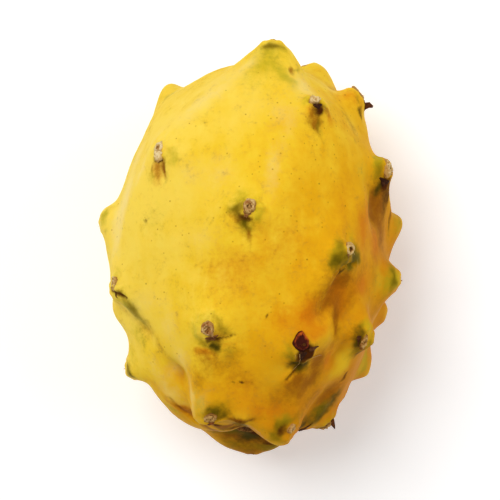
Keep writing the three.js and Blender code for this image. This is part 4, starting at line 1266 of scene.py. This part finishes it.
def buildScales():
    scales = newHeap()
    dice = random.Random(scaleVary["seed"])
    for number, shown in enumerate(shownScales):
        form = {**scaleForm, **shown}
        root, normal = seenFromAbove(skinTree, *form["at"])
        angle = math.radians(form["turn"])
        ahead = np.array([math.cos(angle), math.sin(angle), 0.0])
        points, faces = scaleMesh(root, ahead, normal, form, number)
        addTo(scales, points, faces, tone=form["tone"], pale=0, red=form["warm"])
    for number, (name, spot) in enumerate(spots.items()):
        if name in coveredScales or spot["place"][2] < scaleMake["clear"]:
            continue
        form = {key: value * dice.uniform(*scaleVary["size"]) for key, value in scaleForm.items()}
        root, normal = besideSpot(skinTree, spot, dice.uniform(*scaleVary["right"]), scaleVary["down"])
        points, faces = scaleMesh(root, spot["down"], unit(normal + spot["out"]), form, number + 40)
        addTo(scales, points, faces, tone=form["tone"], pale=0, red=dice.uniform(*scaleVary["red"]))
    buildCap(scales)
    buildHorns(scales)
    heapPiece("scales", scales, driedMaterial())


driedLook = {
    "dry": [(0.0, colour(46, 26, 12)), (0.3, colour(92, 58, 26)), (0.6, colour(140, 100, 50)),
            (1.0, colour(196, 156, 100))],
    "glow": [(0.0, colour(66, 20, 10)), (0.3, colour(116, 44, 16)), (0.6, colour(186, 84, 20)),
             (1.0, colour(212, 120, 36))],
    "roughness": 0.7,
    "gloss": 0.08,
}


def driedMaterial():
    material, tree, shader, where = newMaterial("dried scale")
    tone, red = (attributeNode(tree, layer) for layer in ("tone", "red"))
    grain = noiseNode(tree, where, 0.0007, 5, 0.7)
    shade = calc(tree, "ADD", tone, calc(tree, "MULTIPLY", calc(tree, "SUBTRACT", grain, 0.5), 1.2))
    dry = rampNode(tree, shade, driedLook["dry"])
    glow = rampNode(tree, shade, driedLook["glow"])
    setInputs(tree, shader, {
        "Base Color": mixNode(tree, red, dry, glow),
        "Roughness": driedLook["roughness"],
        "Specular IOR Level": driedLook["gloss"],
        "Normal": bumpNode(tree, 0.6, grain),
    })
    return material


buildScales()
print("scales built")

# side is -1 at the stem and 1 at the flower, shade is the heights between which the wood lightens.
# The stem scar's dark is partly painted shade, for the scar sits deep in the hollow at the stem end.
stemForm = {"side": -1, "radius": 3.2, "stand": 0.9, "ragged": 0.12, "grain": 0.2, "cracks": 0.25,
            "pitAt": (0, 0), "seed": 71, "shade": (-0.7, 1.3), "dark": 0.42, "pale": 0.0, "red": 0.2}
navelForm = {"side": 1, "radius": 3.6, "thick": 0.9, "stand": 0.8, "ragged": 0.14, "grain": 0.22,
             "cracks": 0.25, "pitAt": (0, 0), "seed": 83, "shade": (-0.2, 0.8), "dark": 0.0, "pale": 0.1,
             "red": 0.3}
scarMesh = {"sectors": 72, "rings": 30, "crackDark": 0.3}


def endSpot(side, span=0.08):
    ways = [(span, side, 0), (-span, side, 0), (0, side, span), (0, side, -span), (0, side, 0)]
    right, left, up, down, place = surfacePoints(unit(np.array(ways, float)))
    return spotFrame(place, -side * np.cross(right - left, up - down), np.array([0.0, 0.0, 1.0]))


def stemProfile(radius, stand):
    return [(0, stand - 0.5), (radius * 0.3, stand - 0.55), (radius * 0.8, stand - 0.3),
            (radius * 0.98, stand), (radius * 1.08, stand * 0.7), (radius * 1.12, stand * 0.3),
            (radius * 1.2, 0), (radius * 1.3, -1.5), (0, -2.4)]


def navelProfile(radius, thick, stand):
    return [(0, 0.2), (radius - thick * 1.4, 0.25), (radius - thick, 0.4), (radius - 0.3, stand),
            (radius, stand), (radius + thick * 0.6, stand * 0.6), (radius + thick, -0.2),
            (radius + thick, -1.4), (0, -2.2)]


def buildScar(name, form, profile, wood):
    points, faces, height, crack, share = turnedMesh(endSpot(form["side"]), profile, form, 1, 1, form["seed"],
                                                     scarMesh["sectors"], scarMesh["rings"])
    tone = smooth(height, *form["shade"]) - scarMesh["crackDark"] * crack - form["dark"]
    heap = newHeap()
    addTo(heap, points, faces, tone=tone, pale=form["pale"], red=form["red"])
    heapPiece(name, heap, wood)


def buildEnds():
    wood = woodMaterial("scar wood")
    buildScar("stemScar", stemForm, stemProfile(stemForm["radius"], stemForm["stand"]), wood)
    navelSizes = (navelForm[key] for key in ("radius", "thick", "stand"))
    buildScar("navel", navelForm, navelProfile(*navelSizes), wood)


buildEnds()
print("ends built")

studio = {
    "keyPlace": (-0.36, 0.36, 0.95),
    "keySize": 0.7,
    "keyPower": 7.3,
    "fillPlace": (0.85, 0.1, 0.6),
    "fillSize": 0.9,
    "fillPower": 3.0,
    "world": 0.32,
    "cameraHeight": eyeHeight * mm,
    "sensorWidth": 36,
    "frameWidth": 0.13315,  # what the camera takes in at the height of the fruit's axis
    "shift": -0.007,
    "floorSize": 4.0,
    "floor": colour(252, 252, 252),
    "floorGlow": 0.2,
    "floorRoughness": 0.8,
}
white = (1, 1, 1, 1)


def areaLight(name, place, size, power, aim):
    light = bpy.data.lights.new(name, "AREA")
    light.shape = "DISK"
    light.size = size
    light.energy = power
    lamp = bpy.data.objects.new(name, light)
    lamp.location = place
    lamp.rotation_euler = (aim - Vector(place)).to_track_quat("-Z", "Y").to_euler()
    lamp.visible_camera = False
    bpy.context.scene.collection.objects.link(lamp)


def buildStudio():
    aim = Vector((*body["centre"], body["axisHeight"])) * mm
    areaLight("keyLight", studio["keyPlace"], studio["keySize"], studio["keyPower"], aim)
    areaLight("fillLight", studio["fillPlace"], studio["fillSize"], studio["fillPower"], aim)
    world = bpy.data.worlds.new("paleRoom")
    world.use_nodes = True
    room = world.node_tree.nodes["Background"].inputs
    room["Strength"].default_value = studio["world"]
    room["Color"].default_value = white
    scene = bpy.context.scene
    scene.world = world
    scene.view_settings.view_transform = "Standard"
    camera = bpy.data.cameras.new("camera")
    camera.sensor_width = studio["sensorWidth"]
    camera.lens = studio["sensorWidth"] * studio["cameraHeight"] / studio["frameWidth"]
    camera.shift_y = studio["shift"]
    holder = bpy.data.objects.new("camera", camera)
    holder.location = aim + Vector((0, 0, studio["cameraHeight"]))
    scene.collection.objects.link(holder)
    scene.camera = holder
    bpy.ops.mesh.primitive_plane_add(size=studio["floorSize"])
    floor = bpy.context.object
    floor.name = "floor"
    material, tree, shader, where = newMaterial("pale floor")
    setInputs(tree, shader, {
        "Base Color": studio["floor"],
        "Roughness": studio["floorRoughness"],
        "Emission Color": white,
        "Emission Strength": studio["floorGlow"],
    })
    floor.data.materials.append(material)


buildStudio()
print("studio built")
